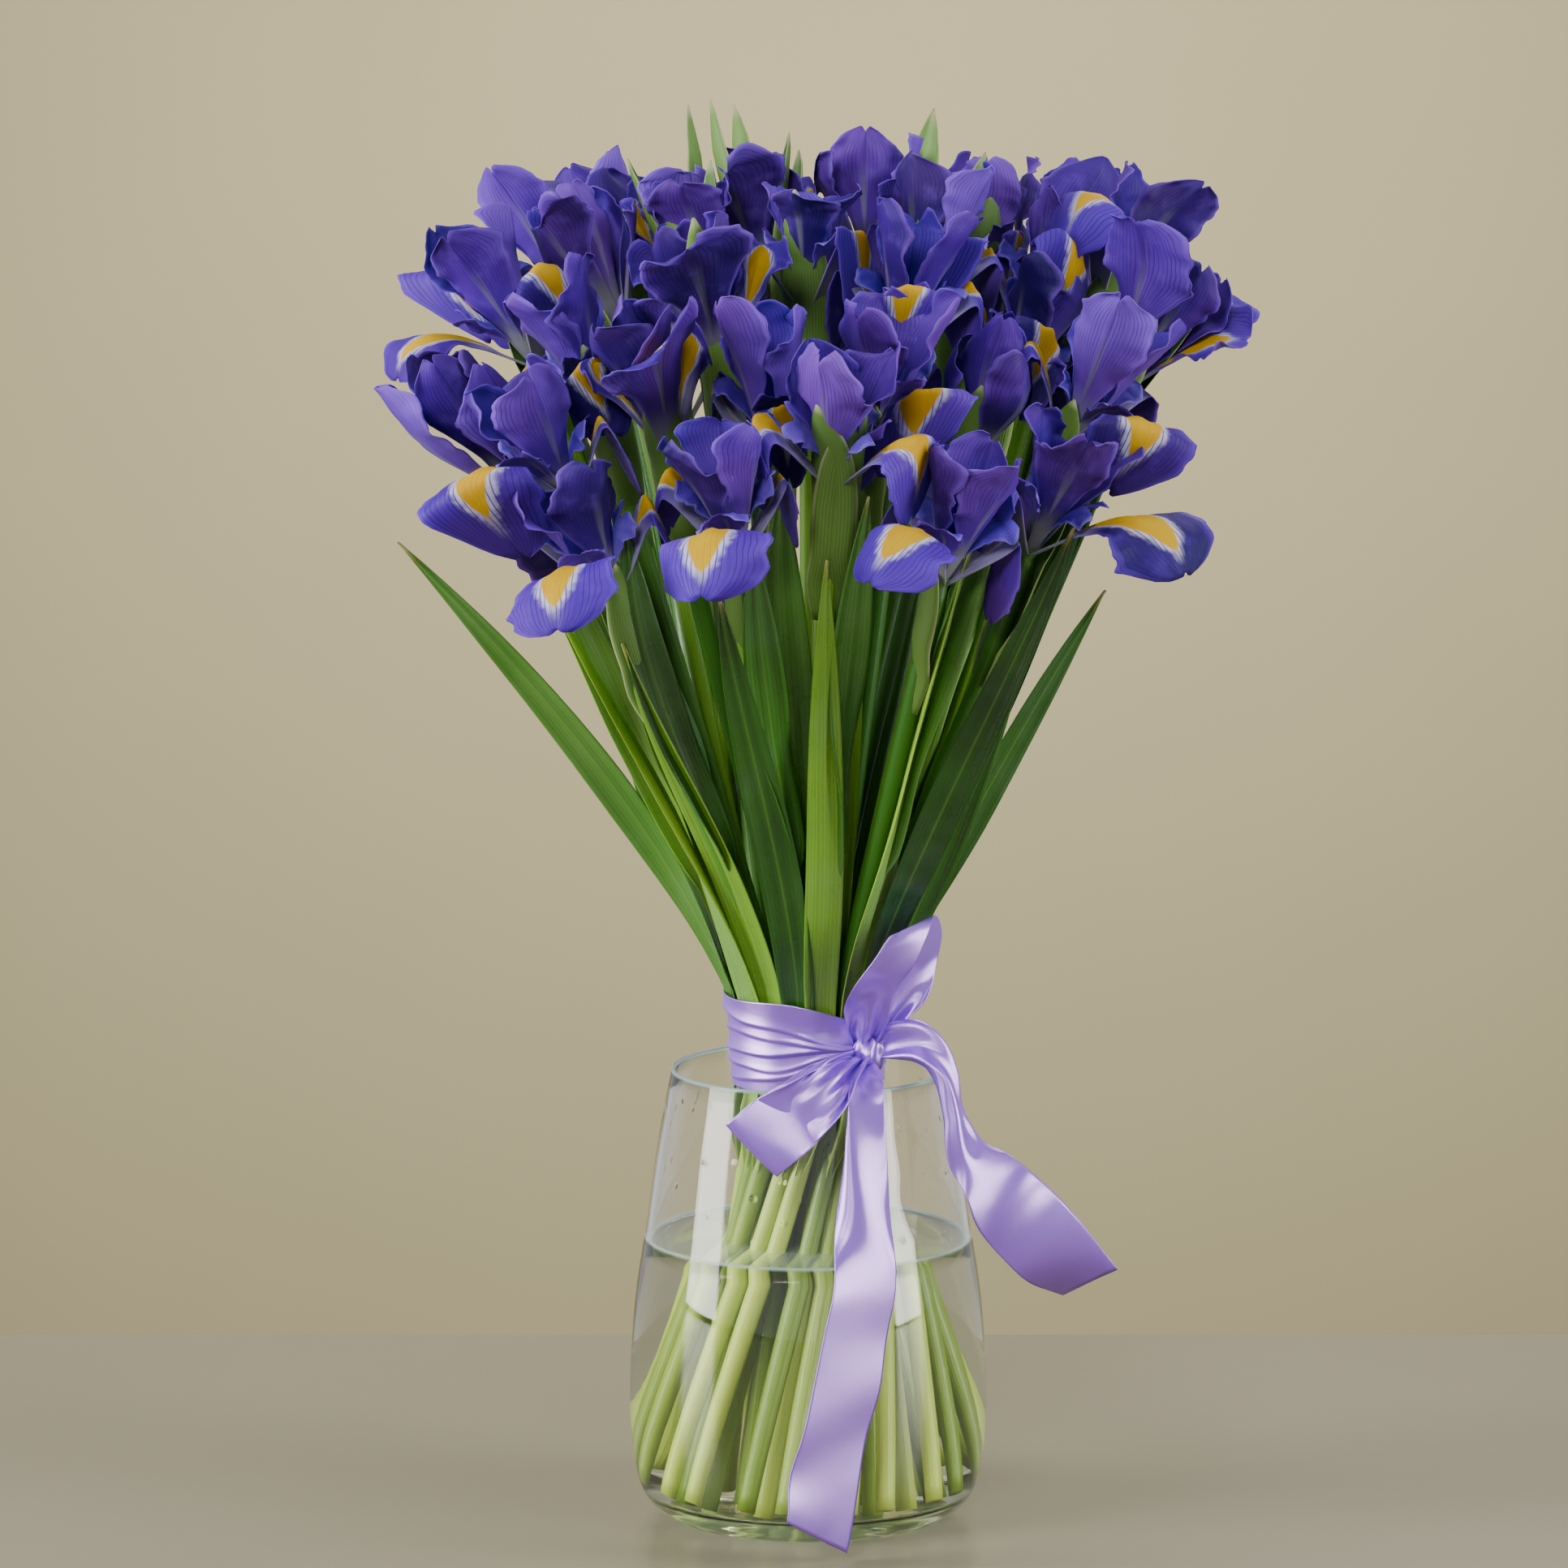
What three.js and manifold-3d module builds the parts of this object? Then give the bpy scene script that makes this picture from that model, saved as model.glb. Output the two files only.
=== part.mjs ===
// Hand-tied bouquet of Dutch irises with a satin ribbon, standing in a glass vase of water.
// Millimetres, +Z up, +X to the right and -Y to the front. The origin is the centre of the
// vase's flat foot, on the table.
import * as THREE from 'three';
import { mergeVertices } from 'three/addons/utils/BufferGeometryUtils.js';
import Module from 'manifold-3d';

const wasm = await Module();
wasm.setup();

// ---- driving dimensions -------------------------------------------------------------------
const GAP = 0.3; // clearance between pieces that touch in real life

const VASE_HEIGHT = 206;
const VASE_SIDES = 22;
// [radius, height] of the glass, outside from the foot to the rim and inside from rim to floor
const VASE_OUTSIDE = [[58, 0], [68.5, 3.6], [76.5, 13.4], [80.6, 35], [81.2, 64], [78.6, 101], [73.6, 134],
  [68.8, 168], [62.2, 204]];
const VASE_INSIDE = [[60.2, 204.4], [66.3, 168], [71.1, 134], [76.1, 101], [78.7, 64], [77.6, 35], [73, 19],
  [66, 12.4], [54, 9]];
const WATER_LEVEL = 127.5;

const STEM_RADIUS = 4.2;
const STEM_SIDES = 5;
const STEM_FOOT = 12; // height at which a stem's place on the glass floor is read
const STEM_LIFT = 1.2; // height of its cut end above that floor
const RING_STEP = 8.6; // distance between the rings of stems in the tie
const PAIR_DISTANCE = 6.9; // two stems of one pair press into each other in the tie
const TIE_TOP = 239; // above it the stems fan out
const WAIST = 187; // below it they spiral apart
const FAN = 0.0158; // growth of the bundle per mm above the tie
const SPIRAL = 0.012; // sideways travel per mm below the waist
const OPENING = 0.0019; // outward travel per mm below the waist

const PETAL_HALF = 0.55; // half the thickness of a petal on its midline
const LEAF_HALF = 0.8;
const VALVE_HALF = 0.8;
const VALVE_CLING = 0.92; // how closely a valve's foot follows the bend of its stem
const CROWN = 26; // height of a bloom's centre above its base
const PRESS_POWER = 6; // how late a petal gives way to the neighbouring bloom
const PRESS_MARGIN = 0.8;
// A petal that its neighbours would fold is raised until it bends less than this from row to row,
// in radians, and its rows are at least this far apart.
const MAX_BEND = 1.9;
const MIN_STEP = 2;

const RIBBON_HALF = 0.55; // half the thickness of the satin ribbon
// The band round the stems: [radius of its inner face, height], from its lower to its upper edge.
const BAND = [[33.6, 198], [33.9, 212], [35.2, 228], [37.4, 241]];
const BAND_SIDES = 18;
const KNOT = { centre: [27, -35.5, 218], half: [6.5, 6.5, 8] };
// The loops and tails of the bow, from the knot outwards. Each row is a point on the ribbon's
// midline, its width there and the direction across it.
const UP_LOOP = [
  [[24.5, -35, 222], 9, [1, -0.3, 0]], [[27, -45, 233], 18, [1, -0.1, 0.35]],
  [[29.5, -53, 246], 27, [1, 0.1, 0.4]], [[34, -59, 259], 33, [1, 0.45, 0.4]],
  [[41, -59, 272], 34, [0.8, 0.75, 0.3]], [[46, -52, 279], 36, [0.7, 1, 0.15]],
  [[49, -44, 274], 36, [0.6, 1, 0.1]], [[48, -38.5, 262], 34, [0.7, 0.9, 0.2]],
  [[42, -37, 247], 25, [0.9, 0.5, 0.2]], [[33, -36.5, 232], 14, [1, 0.1, 0.1]],
  [[25, -34, 221], 8, [1, -0.2, 0]],
];
const LEFT_LOOP = [
  [[22, -37, 217], 9, [0.7, 0, -0.7]], [[17, -51, 217], 13, [0.7, 0, -0.7]],
  [[11, -64, 213], 21, [0.7, 0, -0.72]], [[1, -71, 204], 32, [0.68, 0, -0.73]],
  [[-10, -73.5, 195], 37, [0.68, 0, -0.73]],
  [[-22, -73.5, 185], 38, [0.68, 0, -0.73]], [[-23.5, -72, 183.5], 38, [0.68, 0, -0.73]],
  [[-12, -71, 193], 37, [0.68, 0, -0.73]], [[2, -68.5, 203], 28, [0.7, 0, -0.7]],
  [[12, -60, 211.5], 17, [0.8, 0, -0.6]], [[19, -47, 215], 11, [0.9, 0, -0.4]],
  [[24, -36, 216], 8, [1, 0, 0]],
];
const FRONT_TAIL = [
  [[25, -37, 214], 9, [1, 0, 0]], [[25, -52, 214], 13, [1, 0, 0]],
  [[25.5, -65, 210], 15, [1, 0.1, 0]], [[25.5, -72.5, 197], 17, [1, 0.2, 0]],
  [[26, -78, 172], 21, [1, 0.3, 0]], [[25.5, -84.5, 150], 26, [1, 0.35, 0]],
  [[24.5, -90.5, 128], 32, [1, 0.4, 0]], [[22, -94, 110], 35, [1, 0.42, 0]],
  [[15, -97, 75], 37, [1, 0.44, 0]], [[6.5, -98.5, 38], 38, [1, 0.44, 0]],
  [[2.5, -99.5, 14], 38, [1, 0.44, -0.4]],
];
const RIGHT_TAIL = [
  [[27, -34, 221], 9, [0, 0.3, 1]], [[36, -40, 226], 17, [0.1, 0.3, 1]],
  [[48, -45, 227], 19, [0.2, 0.5, 1]], [[57, -48.5, 221.5], 16, [0.5, 0.8, 0.8]],
  [[63.5, -51, 211], 14, [0.4, 1, 0.2]], [[67, -53, 196], 16, [0.2, 1, 0.1]],
  [[72, -56, 181], 23, [0.5, 0.9, 0.35]], [[85, -60, 160], 34, [0.75, 0.35, 0.62]],
  [[104, -62, 139], 38, [0.7, 0.1, 0.72]], [[125, -58, 119], 38, [0.65, -0.15, 0.75]],
];

const GREEN_LEAF = new THREE.MeshStandardMaterial({ color: 0x4f7f34, roughness: 0.55, metalness: 0 });
const VIOLET_PETAL = new THREE.MeshStandardMaterial({ color: 0x4a35a8, roughness: 0.6, metalness: 0 });
const LILAC_SATIN = new THREE.MeshStandardMaterial({ color: 0xa98cd8, roughness: 0.35, metalness: 0 });
const CLEAR_GLASS = new THREE.MeshStandardMaterial({
  color: 0xe6efe9, roughness: 0.05, metalness: 0, transparent: true, opacity: 0.3 });
const CLEAR_WATER = new THREE.MeshStandardMaterial({
  color: 0xdfeadf, roughness: 0.02, metalness: 0, transparent: true, opacity: 0.35 });

// The flowers: ring and azimuth of the stem in the tie, kind of bloom, centre of the bloom,
// azimuth that its first fall faces, and how far the green valves reach up beside it.
// Azimuth 0 is the front and 90 the right side.
const FLOWERS = [
  [3, -170, 'half', -20, 132, 543, 170, 26], [3, -150, 'open', -62, 118, 512, -150, 24],
  [3, -130, 'cup', -84, 88, 566, -100, 40], [3, -110, 'open', -114, 44, 566, -75, 24],
  [3, -90, 'open', -132, -8, 545, -80, 26], [3, -70, 'cup', -137, -52, 490, -65, 22],
  [3, -50, 'open', -112, -90, 489, -30, 24], [3, -30, 'open', -92, -114, 452, -15, 20],
  [3, -10, 'open', -34, -120, 470, -5, 22], [3, 10, 'open', 12, -112, 500, 40, 34],
  [3, 30, 'open', 62, -118, 460, -20, 24], [3, 50, 'open', 104, -98, 470, 60, 22],
  [3, 70, 'open', 122, -62, 512, 25, 26], [3, 90, 'half', 148, -14, 532, 70, 40],
  [3, 110, 'open', 142, 42, 566, 80, 34], [3, 130, 'cup', 110, 86, 570, 120, 26],
  [3, 150, 'open', 76, 118, 525, 150, 26], [3, 170, 'half', 30, 135, 512, -170, 24],
  [2, -150, 'bud', -16, 84, 572, 0, 66], [2, -120, 'half', -56, 60, 574, 20, 62],
  [2, -90, 'half', -92, 6, 562, -30, 30], [2, -60, 'open', -98, -48, 524, 0, 26],
  [2, -30, 'half', -66, -80, 512, 10, 26], [2, 0, 'open', -18, -82, 512, 10, 22],
  [2, 30, 'open', 32, -82, 520, 20, 26], [2, 60, 'cup', 76, -58, 508, 30, 26],
  [2, 90, 'open', 96, -8, 530, 15, 26], [2, 120, 'open', 106, 36, 556, 10, 30],
  [2, 150, 'open', 78, 78, 570, 40, 28], [2, 180, 'bud', 34, 90, 572, 0, 66],
  [1, -150, 'half', -22, 42, 580, -20, 62], [1, -90, 'open', -48, 2, 570, 60, 46],
  [1, -30, 'half', -42, -44, 546, -10, 40], [1, 30, 'open', 42, -38, 552, 0, 30],
  [1, 90, 'open', 54, 6, 570, 0, 44], [1, 150, 'half', 30, 44, 582, 30, 34],
  [0, 0, 'open', 0, -4, 570, 40, 34],
].map(([ring, azimuth, kind, x, y, z, face, tip]) => ({
  ring, azimuth, kind, face, tip, centre: new THREE.Vector3(x, y, z) }));

// Flowers whose stems press together in the tie and make one leafy cluster.
const STEM_CLUSTERS = [
  [[0, 0], [1, -30], [1, 30]], [[1, 90], [1, 150]], [[1, -150], [1, -90]],
  [[2, -30], [2, 0]], [[2, 30], [2, 60]], [[2, 90], [2, 120]], [[2, 150], [2, 180]], [[2, -150], [2, -120]],
  [[2, -90], [2, -60]],
  [[3, -10], [3, 10]], [[3, 30], [3, 50]], [[3, 70], [3, 90]], [[3, 110], [3, 130]], [[3, 150], [3, 170]],
  [[3, -170], [3, -150]], [[3, -130], [3, -110]], [[3, -90], [3, -70]], [[3, -50], [3, -30]],
];

// Petals by kind of bloom. Angles are measured from the bloom's axis, in degrees: at the
// narrow haft and at the tip, with the bend starting at a share of the length. "from" is
// where the petal leaves the tube: out from the axis and up. "wrap" rolls the blade across,
// in radians, and "spin" turns it about its own midline, so that rolled petals overlap.
const FALL_WIDTHS = [[0, 2], [0.3, 8], [0.48, 15], [0.66, 47.5], [0.84, 49.5], [1, 8]];
const STANDARD_WIDTHS = [[0, 2], [0.3, 6], [0.64, 25.5], [0.85, 17.5], [1, 2]];
const STYLE_WIDTHS = [[0, 2], [0.4, 6.5], [0.75, 16.5], [1, 10]];
const CUP_WIDTHS = [[0, 2], [0.32, 15], [0.62, 37.5], [0.84, 28.5], [1, 4]];
const BUD_WIDTHS = [[0, 2], [0.3, 13], [0.62, 18.5], [0.84, 12], [1, 2]];
const PETALS = {
  open: [
    { layer: 'fall', from: [2.2, 1], length: 92, haft: 38, tip: 134, bend: 0.38, widths: FALL_WIDTHS,
      wrap: -0.35, spin: 0, rows: [0.3, 0.48, 0.66, 0.84] },
    { layer: 'standard', from: [2.4, 3], length: 71, haft: 15, tip: 24, bend: 0.3, widths: STANDARD_WIDTHS,
      wrap: 0.6, spin: 0, rows: [0.3, 0.64] },
    { layer: 'style', from: [1, 9], length: 37, haft: 24, tip: 56, bend: 0.3, widths: STYLE_WIDTHS,
      wrap: -0.6, spin: 0, rows: [0.4, 0.75] },
  ],
  half: [
    { layer: 'fall', from: [2.2, 1], length: 85, haft: 26, tip: 70, bend: 0.5, widths: FALL_WIDTHS,
      wrap: 0.4, spin: 0.15, rows: [0.3, 0.48, 0.66, 0.8] },
    { layer: 'standard', from: [2.4, 3], length: 69, haft: 15, tip: 8, bend: 0.3, widths: STANDARD_WIDTHS,
      wrap: 0.8, spin: 0.25, rows: [0.3, 0.64] },
  ],
  cup: [
    { layer: 'fall', from: [2.2, 1], length: 76, haft: 32, tip: -4, bend: 0.2, widths: CUP_WIDTHS,
      wrap: 0.8, spin: 0.15, rows: [0.32, 0.62, 0.84] },
    { layer: 'standard', from: [2.4, 3], length: 71, haft: 15, tip: -4, bend: 0.3, widths: STANDARD_WIDTHS,
      wrap: 0.9, spin: 0.15, rows: [0.3, 0.64] },
  ],
  bud: [
    { layer: 'fall', from: [2, 1], length: 72, haft: 11, tip: -6, bend: 0.2, widths: BUD_WIDTHS,
      wrap: 1.2, spin: 0.45, rows: [0.3, 0.62, 0.84] },
  ],
};
const SHARE = { open: 3, half: 1, cup: 0, bud: -4 }; // room that a kind takes from its neighbours

const LEAF_WIDTHS = [[0, 3], [0.17, 8.5], [0.4, 14.5], [0.62, 15.5], [0.82, 11], [1, 0.5]];
const LEAF_ROWS = [0.17, 0.31, 0.56, 0.8];
const VALVE_WIDTHS = [[0, 3], [0.3, 15], [0.65, 17], [1, 1]];
const VALVE_ROWS = [0.3, 0.65];
// [distance along the stem above the bloom's base, distance from the axis] of a valve
const VALVE_OFFSETS = [[-44, 2], [-28, 6.6], [-6, 7.6], [20, 10], [66, 17]];

// ---- small helpers ------------------------------------------------------------------------
const UP = new THREE.Vector3(0, 0, 1);
const degrees = (angle) => angle * Math.PI / 180;
const mix = (a, b, t) => a + (b - a) * t;
const clamp = (t) => Math.min(1, Math.max(0, t));
const smooth = (t) => clamp(t) ** 2 * (3 - 2 * clamp(t));
const compass = (azimuth) => new THREE.Vector3(Math.sin(degrees(azimuth)), -Math.cos(degrees(azimuth)), 0);

// A seeded draw between -1 and 1.
function draw(seed) {
  const wave = Math.sin(seed * 127.1 + 311.7) * 43758.5453;
  return 2 * (wave - Math.floor(wave)) - 1;
}

// A ramp that is 0 below -soft and grows 1:1 above +soft.
function ramp(x, soft) {
  if (x <= -soft) return 0;
  return x >= soft ? x : (x + soft) ** 2 / (4 * soft);
}

// Straight interpolation in rows of [position, value].
function lookUp(rows, position) {
  const next = rows.findIndex((row) => row[0] >= position);
  if (next === 0) return rows[0][1];
  if (next < 0) return rows.at(-1)[1];
  const [[a, from], [b, to]] = [rows[next - 1], rows[next]];
  return mix(from, to, (position - a) / (b - a));
}

function toSolid(geometry) {
  geometry.deleteAttribute('normal');
  geometry.deleteAttribute('uv');
  const merged = mergeVertices(geometry, 1e-4);
  return new wasm.Manifold(new wasm.Mesh({
    numProp: 3,
    vertProperties: merged.attributes.position.array,
    triVerts: new Uint32Array(merged.index.array),
  }));
}

function toMesh(solid, name, material) {
  const { vertProperties, triVerts } = solid.getMesh();
  const geometry = new THREE.BufferGeometry();
  geometry.setAttribute('position', new THREE.BufferAttribute(new Float32Array(vertProperties), 3));
  geometry.setIndex(new THREE.BufferAttribute(new Uint32Array(triVerts), 1));
  geometry.computeVertexNormals();
  const mesh = new THREE.Mesh(geometry, material);
  mesh.name = name;
  return mesh;
}

const fuse = (solids) => solids.reduce((sum, solid) => sum.add(solid));

// The largest connected body, without loose scraps.
function mainBody(solid) {
  const bodies = solid.decompose();
  return bodies.reduce((best, body) => (body.volume() > best.volume() ? body : best));
}

// ---- blades: leaves, valves and petals ----------------------------------------------------
// A closed body that blades grow from. A blade starts at four corners (left, outer, right,
// inner), or at one point four times, and ends in a pointed tip.
class Growth {
  constructor() {
    this.vertices = [];
    this.triangles = [];
  }

  add(point) {
    return this.vertices.push(point) - 1;
  }

  face(a, b, c) {
    if (a !== b && b !== c && c !== a) this.triangles.push(a, b, c);
  }

  // Rows hold three points (left, middle, right). A blade is thickest along its midline, and
  // its two faces are split alike.
  blade(root, rows, normals, tip, half) {
    const net = rows.map(([left, middle, right], i) => {
      const [front, back] = [half, -half].map((depth) => middle.clone().addScaledVector(normals[i], depth));
      return [left, front, right, back].map((point) => this.add(point));
    });
    const stations = [root, ...net, Array(4).fill(this.add(tip))];
    for (let side = 0; side < 4; side += 1) {
      const next = (side + 1) % 4;
      for (let i = 1; i < stations.length; i += 1) {
        const [a, b] = [stations[i - 1][side], stations[i - 1][next]];
        const [c, d] = [stations[i][next], stations[i][side]];
        const even = side % 2 === 0; // splits both faces from the edges to the next midpoint
        this.face(a, b, even ? c : d);
        this.face(even ? a : b, c, d);
      }
    }
  }

  solid() {
    const geometry = new THREE.BufferGeometry().setFromPoints(this.vertices);
    geometry.setIndex(this.triangles);
    const solid = toSolid(geometry);
    if (solid.volume() > 0) return solid;
    geometry.setIndex(this.triangles.reverse());
    return toSolid(geometry);
  }
}

// A single blade that starts in a point.
function bladeSolid(root, rows, normals, tip, half) {
  const body = new Growth();
  body.blade(Array(4).fill(body.add(root)), rows, normals, tip, half);
  return body.solid();
}

// One row across a blade that is rolled by "wrap" towards its inner normal.
function rowAcross(centre, side, inward, width, wrap, columns = [-1, 0, 1]) {
  return columns.map((u) => {
    const along = width / 2 * Math.sin(wrap * u) / wrap;
    const lift = width / 2 * (1 - Math.cos(wrap * u)) / wrap;
    return centre.clone().addScaledVector(side, along).addScaledVector(inward, lift);
  });
}

// ---- stems --------------------------------------------------------------------------------
// The bundle's cross-section at a height: how far it is opened and how far it is turned.
function bundleAt(z) {
  const below = ramp(WAIST - z, 20);
  return { opened: 1 + FAN * ramp(z - TIE_TOP, 12) + OPENING * below, turned: -SPIRAL * below };
}

// Stems of one pair lean together in the tie, and the centre stem towards its neighbours.
function placeInTie(flower) {
  if (flower.ring === 0) return new THREE.Vector3(0, -1.7, 0);
  const radius = flower.ring * RING_STEP;
  const step = flower.ring === 3 ? 20 : 60 / flower.ring;
  const partner = STEM_CLUSTERS.find((cluster) => isIn(flower, cluster))
    .find(([ring, azimuth]) => ring === flower.ring && azimuth !== flower.azimuth);
  const half = THREE.MathUtils.radToDeg(Math.asin(PAIR_DISTANCE / 2 / radius));
  const towards = Math.sign(partner[1] - flower.azimuth);
  return compass(flower.azimuth + towards * (step / 2 - half)).multiplyScalar(radius);
}

function isIn(flower, cluster) {
  return cluster.some(([ring, azimuth]) => ring === flower.ring && azimuth === flower.azimuth);
}

function bundlePoint(flower, z) {
  const { opened, turned } = bundleAt(z);
  const { x, y } = flower.inTie;
  return new THREE.Vector3(opened * x - turned * y, turned * x + opened * y, z);
}

// A stem follows the bundle and bends gently to the base of its own bloom.
function stemPoint(flower, z) {
  const point = bundlePoint(flower, z);
  const bent = smooth((z - TIE_TOP) / (flower.base.z - TIE_TOP));
  const miss = flower.base.clone().sub(bundlePoint(flower, flower.base.z));
  return point.addScaledVector(miss, bent);
}

FLOWERS.forEach((flower, index) => {
  flower.index = index;
  flower.inTie = placeInTie(flower);
  flower.axis = new THREE.Vector3(flower.centre.x, flower.centre.y, 235).normalize();
  flower.base = flower.centre.clone().addScaledVector(flower.axis, -CROWN);
});

// A curve whose stations are evenly numbered and not evenly spaced.
class StationCurve extends THREE.CatmullRomCurve3 {
  getPointAt(t, target) {
    return this.getPoint(t, target);
  }

  getTangentAt(t, target) {
    return this.getTangent(t, target);
  }
}

// Height of the vase's floor under a stem's end.
function floorUnder(radius) {
  return lookUp([...VASE_INSIDE].reverse(), radius);
}

function stemSolid(flower, extra) {
  const foot = bundlePoint(flower, STEM_FOOT);
  const bottom = floorUnder(Math.hypot(foot.x, foot.y) + STEM_RADIUS) + STEM_LIFT;
  const top = flower.base.z + extra;
  const stations = [bottom, 165, 242, 270, mix(270, top, 0.4), mix(270, top, 0.75), top]
    .map((z) => stemPoint(flower, z));
  const outline = new THREE.Shape();
  for (let side = 0; side < STEM_SIDES; side += 1) {
    const turn = 2 * Math.PI * side / STEM_SIDES;
    const corner = [Math.cos(turn), Math.sin(turn)].map((value) => value * (STEM_RADIUS + extra));
    outline[side ? 'lineTo' : 'moveTo'](...corner);
  }
  return toSolid(new THREE.ExtrudeGeometry(outline, {
    extrudePath: new StationCurve(stations, false, 'centripetal'), steps: stations.length - 1 }));
}

// ---- leaves -------------------------------------------------------------------------------
// A leaf clasps its stem at the root and stands away from it towards its tip.
function leafSolid(flower, leaf, extra) {
  const place = (t) => {
    const z = mix(leaf.root, leaf.tip, t);
    const on = stemPoint(flower, z);
    const along = stemPoint(flower, z + 1).sub(on).normalize();
    const outward = new THREE.Vector3(on.x, on.y, 0).normalize().applyAxisAngle(UP, leaf.turn);
    const side = new THREE.Vector3().crossVectors(outward, along).normalize();
    const inward = new THREE.Vector3().crossVectors(along, side);
    const clear = t > 0 ? STEM_RADIUS + 1.3 : 1;
    on.addScaledVector(outward, clear + leaf.stand * t ** 2 + leaf.splay * t ** 3);
    on.addScaledVector(side, leaf.sway * t ** 2);
    return { on, side, inward };
  };
  const stations = LEAF_ROWS.map((t) => ({ t, ...place(t) }));
  const rows = stations.map(({ t, on, side, inward }) => (
    rowAcross(on, side, inward, lookUp(LEAF_WIDTHS, t) * leaf.broad + 2 * extra, 0.7)));
  return bladeSolid(place(0).on, rows, stations.map(({ inward }) => inward), place(1).on, LEAF_HALF + extra);
}

// How much further the low leaf of an outer stem stands out at its tip, by the stem's azimuth.
const SPLAY = [[-70, 52], [-50, 12], [-10, 10], [50, 16], [90, 14], [130, 12], [-130, 14]];

// Outer stems carry a low leaf and an upper leaf, and the second ring an upper leaf on most.
function leavesOf(flower) {
  const seed = flower.index * 7;
  const splay = SPLAY.find(([azimuth]) => azimuth === flower.azimuth)?.[1] ?? 0;
  const low = { root: 155, tip: 420 + 30 * draw(seed + 1), turn: 0.1 * draw(seed + 2),
    stand: 8 + 6 * draw(seed + 3), splay, sway: 12 * draw(seed + 4), broad: 1 };
  const high = { root: 290 + 10 * draw(seed + 5), tip: 440 + 30 * draw(seed + 6), turn: 1.15,
    stand: 10 + 6 * draw(seed + 1), splay: 0, sway: 8 * draw(seed + 3), broad: 1 };
  if (flower.ring === 3) return [low, high];
  if (flower.ring === 2 && flower.azimuth % 60 === 0) return [{ ...high, turn: 0.4 }];
  return [];
}

// ---- spathe: the two green valves below and beside each bloom ------------------------------
// One valve stands on the outer side of the bloom, and long ones have their partner opposite.
function valvesOf(flower) {
  const outer = flower.face + (flower.index % 2 ? 60 : -60);
  return flower.tip < 40 ? [outer] : [outer, outer + 180];
}

function valveSolid(flower, azimuth, number, extra) {
  const end = number ? flower.tip * 0.72 : flower.tip;
  const facing = bloomFrame(flower, azimuth);
  const inward = facing.out.clone().negate();
  const place = (t) => {
    const reach = mix(VALVE_OFFSETS[0][0], end, t);
    const on = reach < 0 ? stemPoint(flower, flower.base.z + reach * VALVE_CLING)
      : flower.base.clone().addScaledVector(flower.axis, reach);
    return on.addScaledVector(facing.out, lookUp(VALVE_OFFSETS, reach));
  };
  const rows = VALVE_ROWS.map((t) => (
    rowAcross(place(t), facing.side, inward, lookUp(VALVE_WIDTHS, t) + 2 * extra, 1.1)));
  return bladeSolid(place(0), rows, rows.map(() => inward), place(1), VALVE_HALF + extra);
}

// ---- blooms -------------------------------------------------------------------------------
// Directions at a bloom, for a petal that faces an azimuth.
function bloomFrame(flower, azimuth) {
  const out = compass(azimuth);
  out.addScaledVector(flower.axis, -out.dot(flower.axis)).normalize();
  const side = new THREE.Vector3().crossVectors(flower.axis, out);
  return { out, side, up: flower.axis };
}

// Petals give way to the neighbouring blooms: a point nears the plane between two blooms
// but doesn't reach it.
function pressed(flower, point) {
  const from = point.clone().sub(flower.centre);
  let strain = 0;
  FLOWERS.forEach((other) => {
    if (other === flower) return;
    const way = other.centre.clone().sub(flower.centre);
    const distance = way.length();
    const room = distance / 2 - PRESS_MARGIN + (SHARE[flower.kind] - SHARE[other.kind]) / 2;
    strain += Math.max(0, from.dot(way) / distance / room) ** PRESS_POWER;
  });
  return flower.centre.clone().addScaledVector(from, (1 + strain) ** (-1 / PRESS_POWER));
}

// The centreline of a petal in its own upright plane: [out, up, angle] at even steps.
function petalSpine(petal, seed, droop) {
  const steps = 24;
  const haft = petal.haft + 3 * draw(seed + 1);
  const tip = mix(petal.haft, petal.tip, droop) + 10 * draw(seed + 2);
  const length = petal.length * (1 + 0.06 * draw(seed + 3));
  const spine = [];
  let [out, up] = petal.from;
  for (let i = 0; i <= steps; i += 1) {
    const angle = degrees(mix(haft, tip, smooth((i / steps - petal.bend) / (1 - petal.bend))));
    spine.push([out, up, angle]);
    out += Math.sin(angle) * length / steps;
    up += Math.cos(angle) * length / steps;
  }
  return spine;
}

// Whether the neighbours press a petal so hard that it turns back on itself.
function isFolded(rows, tip) {
  return [0, 1, 2].some((column) => {
    const points = [...rows.map((row) => row[column]), tip];
    const steps = points.slice(1).map((point, i) => point.clone().sub(points[i]));
    const turnsBack = (step, i) => i > 0 && step.angleTo(steps[i - 1]) > MAX_BEND;
    return steps.some((step, i) => step.length() < MIN_STEP || turnsBack(step, i));
  });
}

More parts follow.
